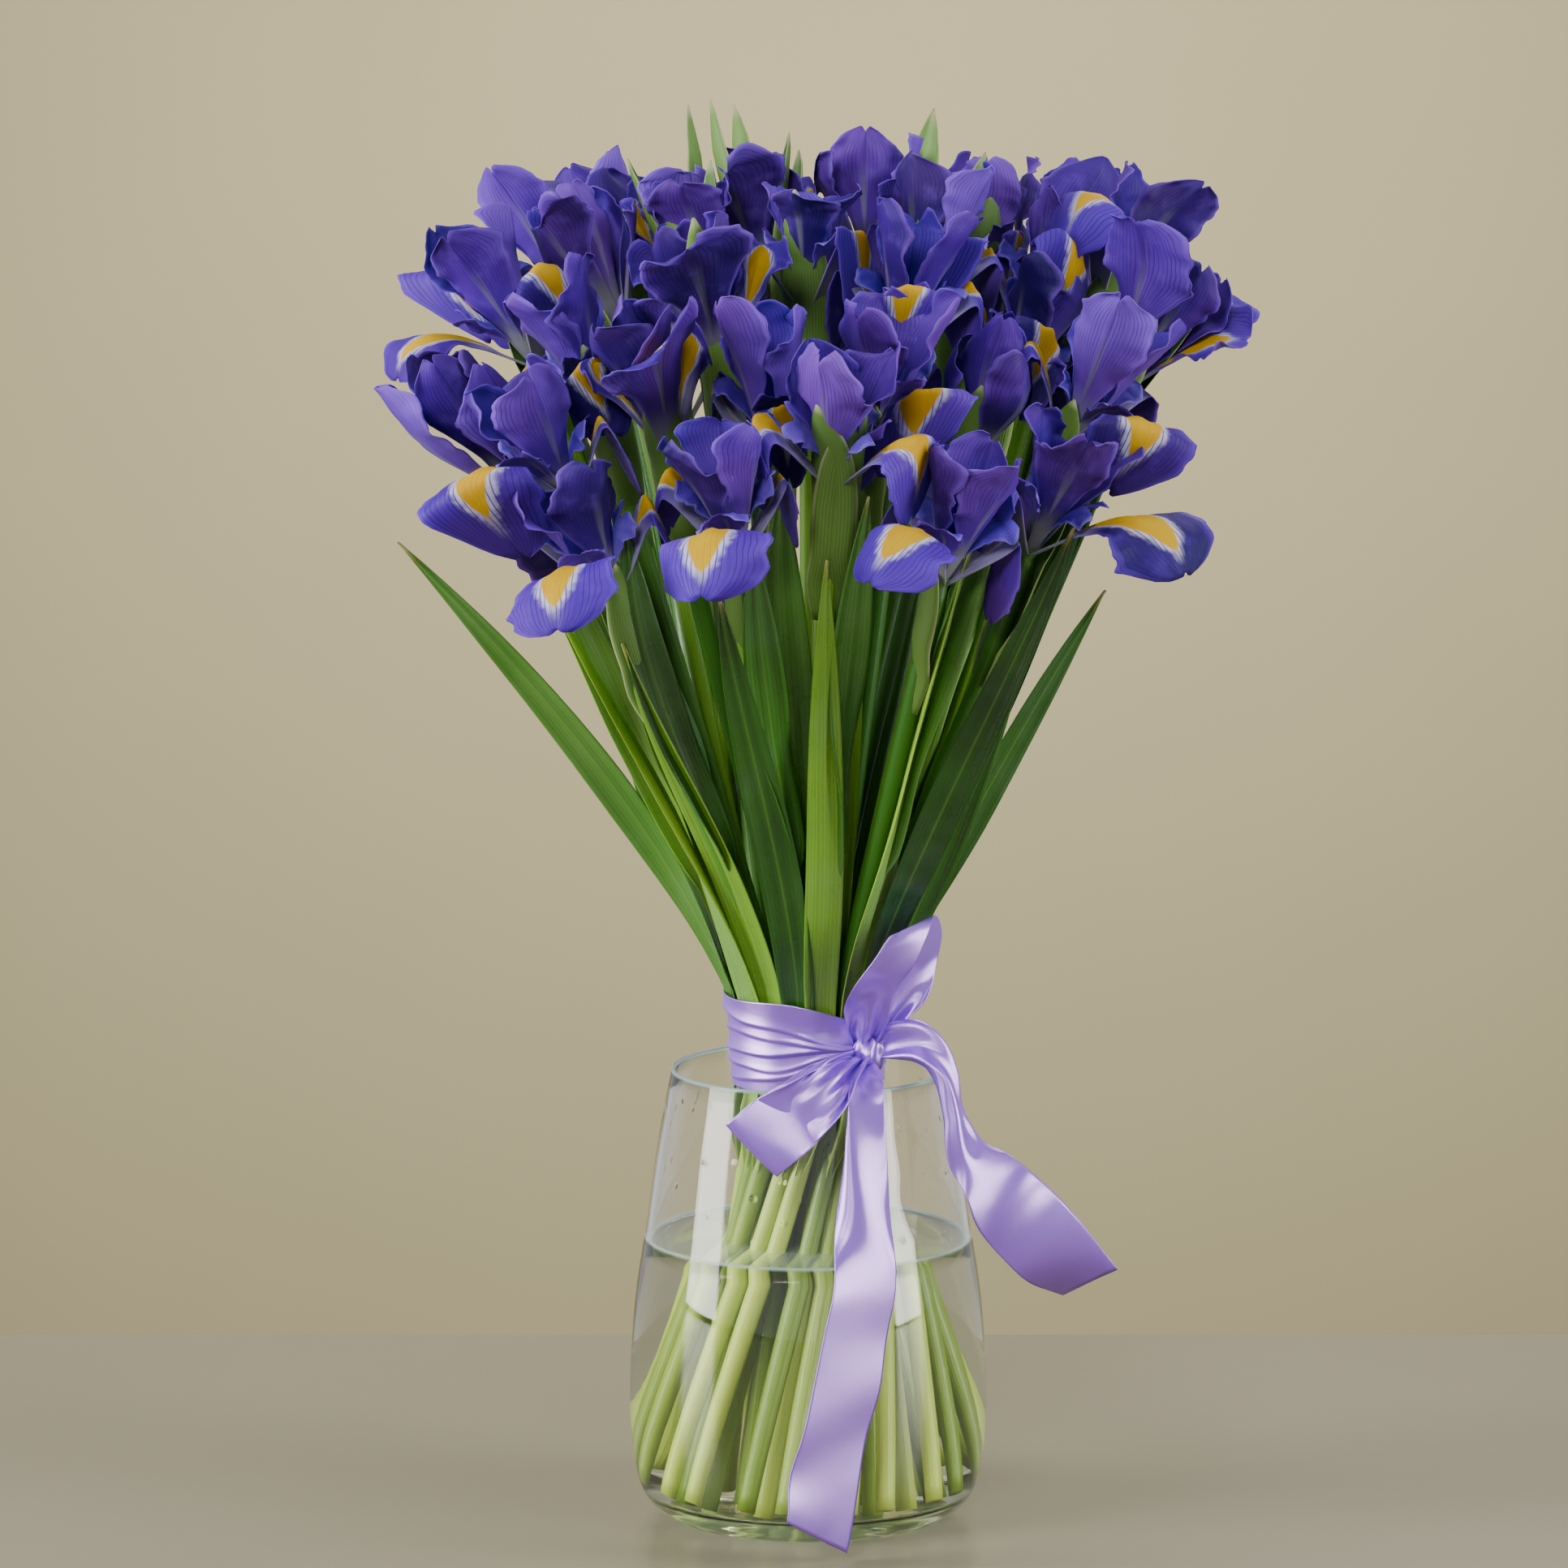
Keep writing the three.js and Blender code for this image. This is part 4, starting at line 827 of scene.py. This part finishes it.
def make_knot(material):
    """The knot: a soft twisted lump with folds that wind over it."""
    body = Builder()
    rows, columns = 36, 48
    polar, turn = np.meshgrid(np.linspace(0.02, math.pi - 0.02, rows), round_angles(columns), indexing='ij')
    swell = 1 + 0.13 * np.sin(5 * turn + 2.2 * polar) * np.sin(polar) + 0.07 * np.sin(3 * turn - 4 * polar)
    grid = np.stack([np.sin(polar) * np.cos(turn), np.sin(polar) * np.sin(turn), np.cos(polar)], axis=-1)
    grid = grid * swell[..., None] * vec(*KNOT_SIZE) + vec(*KNOT_CENTRE)
    body.grid(grid, uv_grid(turn / 3, polar / 3), 0.4, 0, close=True, flip=False)
    return body.make('ribbon_knot', [material])


# ---- materials
class Value:
    """A shader socket that can be added, subtracted and multiplied like a number."""

    def __init__(self, graph, socket):
        self.graph, self.socket = graph, socket

    def __add__(self, other):
        return self.graph.math('ADD', self, other)

    def __sub__(self, other):
        return self.graph.math('SUBTRACT', self, other)

    def __mul__(self, other):
        return self.graph.math('MULTIPLY', self, other)

    def __abs__(self):
        return self.graph.math('ABSOLUTE', self, 0.0)


class Graph:
    """A node material, written as short calls. Textures run in the part's own space, in metres."""

    def __init__(self, name):
        self.material = bpy.data.materials.new(name)
        self.material.use_nodes = True
        self.tree = self.material.node_tree
        self.tree.nodes.clear()
        self.place = self.node('ShaderNodeTexCoord').outputs['Object']

    def node(self, kind, inputs=None, **settings):
        node = self.tree.nodes.new(kind)
        for key, value in settings.items():
            setattr(node, key, value)
        for key, value in (inputs or {}).items():
            self.feed(node.inputs[key], value)
        return node

    def feed(self, socket, value):
        if isinstance(value, Value):
            value = value.socket
        if isinstance(value, bpy.types.Node):
            value = value.outputs[0]
        if isinstance(value, bpy.types.NodeSocket):
            self.tree.links.new(value, socket)
        else:
            socket.default_value = value

    def value(self, kind, inputs=None, **settings):
        return Value(self, self.node(kind, inputs, **settings).outputs[0])

    def split(self, vector):
        return [Value(self, output) for output in self.node('ShaderNodeSeparateXYZ', {0: vector}).outputs]

    def uv(self):
        return self.node('ShaderNodeUVMap', uv_map='UVMap')

    def tone(self):
        return Value(self, self.node('ShaderNodeAttribute', attribute_name='tone').outputs['Fac'])

    def math(self, operation, a, b):
        return self.value('ShaderNodeMath', {0: a, 1: b}, operation=operation)

    def waves(self, position, frequency):
        return self.math('SINE', position * frequency, 0.0)

    def mix(self, factor, a, b, blend='MIX'):
        node = self.node('ShaderNodeMix', data_type='RGBA', blend_type=blend, clamp_factor=True)
        for number, value in ((0, factor), (6, a), (7, b)):
            self.feed(node.inputs[number], value)
        return node.outputs[2]

    def between(self, value, low, high, out_low=0.0, out_high=1.0):
        return self.value('ShaderNodeMapRange', {0: value, 1: low, 2: high, 3: out_low, 4: out_high},
                          interpolation_type='SMOOTHSTEP')

    def steps(self, value, stops):
        """A colour ramp through (position, colour) stops."""
        node = self.node('ShaderNodeValToRGB', {0: value})
        elements = node.color_ramp.elements
        while len(elements) < len(stops):
            elements.new(0.5)
        for element, (position, colour) in zip(elements, stops):
            element.position, element.color = position, colour
        return node.outputs[0]

    def noise(self, scale, detail=3.0, roughness=0.5, vector=None):
        return self.value('ShaderNodeTexNoise', {'Vector': vector or self.place, 'Scale': scale,
                                                 'Detail': detail, 'Roughness': roughness})

    def stretched(self, vector, scale):
        return self.value('ShaderNodeMapping', {0: vector, 3: scale})

    def bump(self, height, strength, distance, **under):
        return self.node('ShaderNodeBump', {'Strength': strength, 'Distance': distance, 'Height': height,
                                            **under})

    def blend(self, share, first, second):
        return self.node('ShaderNodeMixShader', {0: share, 1: first, 2: second})

    def skin(self, colour, rough, bump, **more):
        more = {key.replace('_', ' '): value for key, value in more.items()}
        return self.node('ShaderNodeBsdfPrincipled', {'Base Color': colour, 'Roughness': rough,
                                                      'Normal': bump, **more})

    def blade(self, share, skin, colour, bump):
        """A thin blade: its skin, and the share of the light that shines through it."""
        shine = self.node('ShaderNodeBsdfTranslucent', {'Color': colour, 'Normal': bump})
        return self.finish(self.blend(share, skin, shine))

    def finish(self, shader):
        self.node('ShaderNodeOutputMaterial', {'Surface': shader})
        return self.material


def rgb(r, g, b):
    """Linear colour from an sRGB triple of 0 to 255."""
    def linear(c):
        c /= 255
        return c / 12.92 if c <= 0.04045 else ((c + 0.055) / 1.055) ** 2.4
    return (linear(r), linear(g), linear(b), 1.0)


WHITE = rgb(255, 255, 255)
PETAL_COLOURS = {  # dark, middle and light
    'fall': (rgb(24, 2, 88), rgb(70, 16, 166), rgb(112, 70, 222)),
    'standard': (rgb(24, 3, 92), rgb(68, 18, 172), rgb(116, 78, 230)),
    'style': (rgb(44, 16, 140), rgb(92, 58, 210), rgb(156, 138, 250)),
    'back': (rgb(32, 5, 96), rgb(82, 26, 168), rgb(138, 92, 226)),
}
# half the width of the yellow signal along the petal, as a share of the petal's own
SIGNAL = [(0.4, 0.14), (0.5, 0.4), (0.58, 0.39), (0.67, 0.33), (0.76, 0.25), (0.84, 0.14), (0.91, 0.0)]


def with_signal(g, v, centred, veins, colour):
    """A fall's face with its pale veined haft, yellow signal and white halo, and its glow."""
    pale = g.mix(veins * 0.7, rgb(186, 180, 214), rgb(70, 46, 140))
    colour = g.mix(g.between(v, 0.3, 0.54, 1.0, 0.0) * 0.7, colour, pale)
    reach = g.node('ShaderNodeFloatCurve', {1: v})
    points = reach.mapping.curves[0].points
    for position, value in SIGNAL:
        points.new(position, value)
    points[len(points) - 1].location = (1.0, 0.0)
    reach.mapping.update()
    jagged = (g.noise(260.0, 2.0) - 0.5) * 0.2
    inside = g.math('SUBTRACT', reach, centred)
    signal = g.between(inside + jagged * 0.25, -0.015, 0.035) * g.between(v, 0.86, 0.92, 1.0, 0.0)
    halo = g.between(inside + jagged, -0.2, 0.0) * g.between(v, 0.84, 0.97, 1.0, 0.0)
    colour = g.mix(halo * 0.8, colour, g.mix(veins * 0.9, rgb(222, 220, 246), rgb(70, 46, 160)))
    yellow = g.mix(g.noise(120.0, 2.0), rgb(208, 176, 0), rgb(204, 148, 0))
    glow = g.mix(signal, g.mix(0.15, colour, WHITE, 'ADD'), yellow)
    return g.mix(signal, colour, yellow), glow


def petal_material(name, layer, is_back):
    g = Graph(name)
    u, v, _ = g.split(g.uv())
    centred = abs(u - 0.5) * 2.0
    # veins run along the petal, fan out with its width and waver a little
    warp = (g.noise(55.0, 2.0) - 0.5) * 0.05
    fan = (u + warp) + (u - 0.5) * v * -0.15
    veins = g.between(g.waves(fan, 150.0) + g.waves(fan, 330.0) * 0.45, 0.35, 1.25)
    mottle = g.noise(90.0, 4.0, 0.6)
    dark, middle, light = PETAL_COLOURS['back' if is_back else layer]
    shade = g.noise(22.0, 2.0) * 0.55 + g.tone() * 0.55
    colour = g.steps(shade, [(0.25, dark), (0.55, middle), (0.95, light)])
    redder = g.between(g.noise(13.0, 1.0), 0.44, 0.6, 0.0, 0.55 if layer == 'standard' or is_back else 0.3)
    colour = g.mix(redder, colour, g.mix(shade, rgb(40, 6, 92), rgb(122, 62, 176)))
    colour = g.mix(g.between(centred, 0.8, 1.0, 0.0, 0.5), colour, light)
    colour = g.mix(veins * (0.52 if layer == 'fall' else 0.44), colour, dark)
    colour = g.mix(g.between(mottle, 0.5, 0.75, 0.0, 0.22), colour, light)
    colour = g.mix(g.between(centred, 0.0, 0.07, 0.4, 0.0), colour, dark)  # along the middle
    if layer == 'fall' and not is_back:
        colour, glow = with_signal(g, v, centred, veins, colour)
    else:
        if is_back:  # paler at the base and along the rib
            base = g.between(v, 0.14, 0.42, 0.85, 0.0)
            rib = g.between(centred, 0.03, 0.16, 1.0, 0.0) * g.between(v, 0.45, 0.8, 0.4, 0.0)
            pale = g.mix(veins * 0.35, rgb(158, 164, 160), rgb(96, 84, 150))
            colour = g.mix(g.math('MAXIMUM', base, rib), colour, pale)
        else:
            colour = g.mix(g.between(v, 0.08, 0.34, 0.7, 0.0), colour, rgb(190, 184, 226))
        glow = g.mix(0.15, colour, WHITE, 'ADD')
    bump = g.bump(veins * -0.5 + mottle * 0.35, 0.5, 0.0005)
    skin = g.skin(colour, g.between(mottle, 0.3, 0.7, 0.5, 0.68), bump, Specular_IOR_Level=0.25,
                  Sheen_Weight=0.12, Sheen_Roughness=0.45, Sheen_Tint=colour)
    return g.blade(0.22, skin, glow, bump)


def green_colour(g, stripes, young, old):
    """Green that is paler and yellower low down, where little light reaches it."""
    shade = g.noise(16.0, 3.0) * 0.35 + g.tone() * 0.85
    colour = g.steps(shade, [(0.16, old), (0.42, rgb(54, 120, 12)), (0.62, rgb(94, 146, 56)),
                             (0.78, rgb(122, 174, 38)), (0.98, young)])
    colour = g.mix(stripes * 0.3, colour, g.mix(0.6, old, rgb(14, 44, 10)))
    pale = g.mix(g.between(shade, 0.2, 0.95), rgb(104, 132, 12), rgb(190, 206, 84))
    return g.mix(g.between(g.split(g.place)[2], 0.24, 0.12, 0.0, 0.85), colour, pale)


def leaf_material(name, is_back):
    g = Graph(name)
    u, v, _ = g.split(g.uv())
    warped = u + g.noise(30.0, 2.0) * 0.02
    stripes = g.between(g.waves(warped, 190.0) + g.waves(warped, 61.0) * 0.8, 0.0, 1.6)
    young, old = (rgb(128, 178, 78), rgb(16, 60, 12)) if is_back else (rgb(172, 220, 62), rgb(12, 60, 2))
    colour = green_colour(g, stripes, young, old)
    colour = g.mix(g.between(abs(u - 0.5), 0.0, 0.05, 0.28, 0.0), colour, rgb(120, 168, 62))  # the keel
    colour = g.mix(g.between(v, 0.95, 1.0) * 0.6, colour, rgb(150, 128, 62))  # the dry tip
    waxy = g.between(g.noise(26.0, 3.0), 0.45, 0.7, 0.0, 0.1)
    colour = g.mix(waxy, colour, rgb(126, 160, 128))
    bump = g.bump(stripes * -0.6 + g.noise(500.0, 2.0) * 0.2, 0.4, 0.0005)
    rough = g.between(g.noise(60.0), 0.3, 0.7, 0.24, 0.4)
    skin = g.skin(colour, rough, bump, Specular_IOR_Level=0.7)
    return g.blade(0.16, skin, g.mix(0.5, colour, rgb(150, 200, 40)), bump)


def stem_material():
    g = Graph('stem_green')
    stripes = g.between(g.waves(g.split(g.uv())[0], 150.0), 0.2, 1.0)
    colour = green_colour(g, stripes, rgb(124, 176, 44), rgb(48, 104, 18))
    bump = g.bump(stripes * -0.5 + g.noise(300.0) * 0.3, 0.3, 0.0004)
    return g.finish(g.skin(colour, 0.42, bump, Subsurface_Weight=0.12, Subsurface_Scale=1.0,
                           Subsurface_Radius=(0.002, 0.004, 0.001)))


def spathe_material(name, is_back):
    g = Graph(name)
    u, v, _ = g.split(g.uv())
    stripes = g.between(g.waves(u + g.noise(40.0, 2.0) * 0.02, 130.0), 0.1, 1.0)
    colour = g.mix(stripes * 0.4, rgb(96, 140, 70) if is_back else rgb(112, 152, 62), rgb(58, 104, 34))
    colour = g.mix(g.tone() * 0.3, colour, rgb(74, 120, 60))
    papery = g.math('MAXIMUM', g.between(abs(u - 0.5) * 2.0, 0.88, 1.0, 0.0, 0.6),
                    g.between(v, 0.94, 1.0, 0.0, 0.7))
    papery = papery * g.between(g.noise(70.0), 0.25, 0.7, 0.5, 1.0)
    colour = g.mix(papery, colour, rgb(206, 200, 160))
    bump = g.bump(stripes * -0.6, 0.4, 0.0005)
    return g.blade(0.22, g.skin(colour, 0.5, bump), colour, bump)


# Where glass or water gets a painted highlight, a band of white diffuse and translucent light mixed into
# the clear body: the height at which that begins, the height from which it is full, and its share.
GLASS_PAINTED_HIGHLIGHTS = [(0.2038, 0.2052, 0.4), (0.005, 0.001, 0.22)]
WATER_PAINTED_HIGHLIGHTS = [(0.1271, 0.1274, 0.18), (0.12755, 0.1284, 0.6)]
# the colour of the painted highlight on glass and water
PAINTED_HIGHLIGHT_COLOUR = rgb(222, 244, 244)


def clear_material(name, ior, tint, gathers, rim=None):
    """Glass or water. Light reaches what stands in it straight, which keeps the inside bright."""
    g = Graph(name)
    height = g.split(g.place)[2]
    if rim:
        tint = g.mix(g.between(height, 0.2025, 0.2055), tint, rim)
    body = g.node('ShaderNodeBsdfGlass', {'Color': tint, 'Roughness': 0.0, 'IOR': ior})
    if rim:  # fine droplets and faint runs on the wall above the water
        cells = g.node('ShaderNodeTexVoronoi', {'Vector': g.place, 'Scale': 95.0})
        some = g.between(g.split(cells.outputs['Color'])[0], 0.62, 0.66)
        drops = g.between(cells.outputs['Distance'], 0.22, 0.02) * some
        drops = drops * g.between(height, 0.13, 0.145) * g.between(height, 0.2, 0.19)
        runs = g.noise(60.0, 2.0, vector=g.stretched(g.place, (1.0, 1.0, 0.12)))
        g.feed(body.inputs['Normal'], g.bump(drops + runs * 0.12, 0.5, 0.0006))
    # painted highlight: the clear body turns partly white diffuse and translucent at the glass rim, the foot
    # and the water's surface
    for start, end, share in gathers:
        glow = g.blend(0.5, g.node('ShaderNodeBsdfTranslucent', {'Color': PAINTED_HIGHLIGHT_COLOUR}),
                       g.node('ShaderNodeBsdfDiffuse', {'Color': PAINTED_HIGHLIGHT_COLOUR}))
        body = g.blend(g.between(height, start, end, 0.0, share), body, glow)
    rays = g.node('ShaderNodeLightPath').outputs
    straight = g.math('MAXIMUM', rays['Is Shadow Ray'], rays['Is Diffuse Ray'])
    clear = g.node('ShaderNodeBsdfTransparent', {'Color': rgb(252, 254, 252)})
    return g.finish(g.blend(straight, body, clear))


def satin_material():
    g = Graph('lilac_satin')
    uv = g.uv()
    u, v, _ = g.split(uv)
    weave = (g.waves(u, 1500.0) + g.waves(v, 1900.0) * 0.5) * 0.4
    slub = g.noise(6.0, vector=g.stretched(uv, (60.0, 3.0, 1.0)))
    selvedge = g.between(abs(u - 0.5) * 2.0, 0.955, 0.985)
    colour = g.mix(g.between(slub, 0.3, 0.7, 0.0, 0.35), rgb(106, 40, 198), rgb(128, 66, 214))
    colour = g.mix(selvedge * 0.5, colour, rgb(88, 36, 172))
    threads = g.bump(weave + (selvedge * 1.5 + slub * 0.8), 0.12, 0.00015)
    soft = g.bump(g.noise(24.0, 2.0), 0.35, 0.002, Normal=threads)
    cloth = g.skin(colour, 0.55, soft, Sheen_Weight=0.35, Sheen_Roughness=0.3,
                   Sheen_Tint=rgb(214, 196, 255), Specular_IOR_Level=0.3)
    tangent = g.node('ShaderNodeTangent', direction_type='UV_MAP', uv_map='UVMap')
    gloss = g.node('ShaderNodeBsdfAnisotropic', {
        'Color': rgb(228, 192, 255), 'Roughness': 0.22, 'Anisotropy': 0.6, 'Rotation': 0.0,
        'Tangent': tangent, 'Normal': soft})
    facing = g.node('ShaderNodeLayerWeight', {'Blend': 0.35, 'Normal': soft}).outputs['Facing']
    return g.finish(g.blend(g.between(facing, 0.0, 1.0, 0.38, 0.56), cloth, gloss))


def plain_material(name, colour, rough, grain):
    g = Graph(name)
    darker = (*(c * 0.8 for c in colour[:3]), 1)
    tint = g.mix(g.between(g.noise(grain, 4.0), 0.3, 0.7, 0.0, 0.08), colour, darker)
    bump = g.bump(g.noise(grain * 8, 2.0), 0.05, 0.0005)
    return g.finish(g.skin(tint, rough, bump, Specular_IOR_Level=0.2))


# ---- making the pieces
def place_piece(obj, node):
    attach(obj, 'root')
    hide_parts(node)


petal_slots = [petal_material(f'{layer}_{side}', layer, side == 'back')
               for layer in ('fall', 'standard', 'style') for side in ('face', 'back')]
stem_green = stem_material()
green_slots = [stem_green, leaf_material('leaf_face', False), leaf_material('leaf_back', True),
               spathe_material('spathe_face', False), spathe_material('spathe_back', True)]

for flower in flowers:
    place_piece(make_bloom(flower, petal_slots + [stem_green]), f'bloom_{flower.index + 1:02d}')
for number, cluster in enumerate(STEM_CLUSTERS, 1):
    place_piece(make_greenery(number, cluster, green_slots), f'stems_{number:02d}')

clear_glass = clear_material('clear_glass', 1.46, WHITE, GLASS_PAINTED_HIGHLIGHTS, rim=rgb(226, 244, 242))
clear_water = clear_material('clear_water', 1.333, rgb(251, 251, 236), WATER_PAINTED_HIGHLIGHTS)
place_piece(make_vase(clear_glass), 'vase')
place_piece(make_water(clear_water), 'water')

satin = satin_material()
band = make_band(satin)
knot = make_knot(satin)
place_piece(band, 'ribbon')
place_piece(knot, 'ribbon')
for name, rows, form in [
        ('ribbon_loop_up', UP_LOOP, dict(gathers=3, seed=3, back=-1, swing=0.6)),
        ('ribbon_loop_left', LEFT_LOOP, dict(gathers=4, seed=8, swing=1.9)),
        ('ribbon_tail_front', FRONT_TAIL, dict(gathers=1, seed=15, swing=0.8, dimple=2.2, slant=5)),
        ('ribbon_tail_right', RIGHT_TAIL, dict(gathers=2, seed=23, swing=1.4, slant=2))]:
    strip, run = make_strip(name, rows, satin, **form)
    place_piece(strip, 'ribbon')

# ---- stage, light and camera
TABLE_HALF, TABLE_BACK = 3, 0.34
WALL_HALF, WALL_BACK, WALL_LOW, WALL_HIGH = 1.3, 3.4, -1.3, 1.4
PHOTO_PIXELS = 1932
LENS_PIXELS = 7200     # the camera's focal length in pixels of the photograph
TILT = 8.1             # how far the camera looks down, in degrees


def stage_plane(name, corners, material):
    mesh = bpy.data.meshes.new(name)
    mesh.from_pydata(corners, [], [(0, 1, 2, 3)])
    mesh.materials.append(material)
    add_object(name, mesh)


stage_plane('table', [(-TABLE_HALF, -TABLE_HALF, 0), (TABLE_HALF, -TABLE_HALF, 0),
                      (TABLE_HALF, TABLE_BACK, 0), (-TABLE_HALF, TABLE_BACK, 0)],
            plain_material('table_top', rgb(132, 126, 108), 0.3, 12.0))
stage_plane('wall', [(-WALL_HALF, WALL_BACK, WALL_LOW), (WALL_HALF, WALL_BACK, WALL_LOW),
                     (WALL_HALF, WALL_BACK, WALL_HIGH), (-WALL_HALF, WALL_BACK, WALL_HIGH)],
            plain_material('wall_paint', rgb(190, 178, 138), 0.9, 5.0))


# name, place, target, width, height, power and colour
LIGHTS = [
    ('left_window', (-2.0, -0.5, 0.96), (0, 0, 0.45), 1.0, 1.9, 88, (1, 0.99, 0.97)),
    ('right_window', (1.95, -0.75, 0.94), (0, 0, 0.45), 0.8, 1.9, 58, (1, 0.99, 0.98)),
    ('front_box', (-0.9, -3.0, 2.2), (0, 0, 0.4), 1.1, 0.9, 72, (1, 0.985, 0.96)),
    ('top_box', (0.1, -0.1, 2.4), (0, 0, 0.4), 1.0, 0.8, 12, (1, 1, 1)),
    ('wall_wash', (0.05, 2.0, 0.85), (0.05, WALL_BACK, -0.45), 1.3, 0.6, 27, (1, 0.98, 0.92)),
    ('back_box', (0.9, 3.0, 2.3), (0, 0, 0.4), 1.4, 0.9, 26, (1, 0.985, 0.96)),
]
for name, place, target, width, height, power, colour in LIGHTS:
    light = bpy.data.lights.new(name, 'AREA')
    light.shape = 'RECTANGLE'
    light.size, light.size_y, light.energy, light.color = width, height, power, colour
    lamp = add_object(name, light)
    lamp.location = place
    lamp.rotation_euler = (Vector(target) - Vector(place)).to_track_quat('-Z', 'Y').to_euler()

world = bpy.data.worlds.new('studio')
world.use_nodes = True
sky = world.node_tree
dim = sky.nodes['Background']
bright = sky.nodes.new('ShaderNodeBackground')  # the bright room that the glass and satin mirror
for ground, colour, strength in ((dim, (0.93, 0.95, 1.0, 1), 0.08), (bright, (0.95, 0.97, 1.0, 1), 0.75)):
    ground.inputs[0].default_value, ground.inputs[1].default_value = colour, strength
rays = sky.nodes.new('ShaderNodeLightPath')
either = sky.nodes.new('ShaderNodeMixShader')
for socket, output in zip(either.inputs, (rays.outputs['Is Diffuse Ray'], bright.outputs[0], dim.outputs[0])):
    sky.links.new(output, socket)
sky.links.new(either.outputs[0], sky.nodes['World Output'].inputs[0])
bpy.context.scene.world = world

camera = bpy.data.cameras.new('camera')
camera.sensor_width = 36
camera.lens = camera.sensor_width * LENS_PIXELS / PHOTO_PIXELS
camera.clip_end = 20
view = add_object('camera', camera)
view.location = (-0.011, -2.6, 0.705)
view.rotation_euler = (math.radians(90 - TILT), 0, 0)
bpy.context.scene.camera = view


def plain(box):
    return [[float(value) for value in corner] for corner in box]
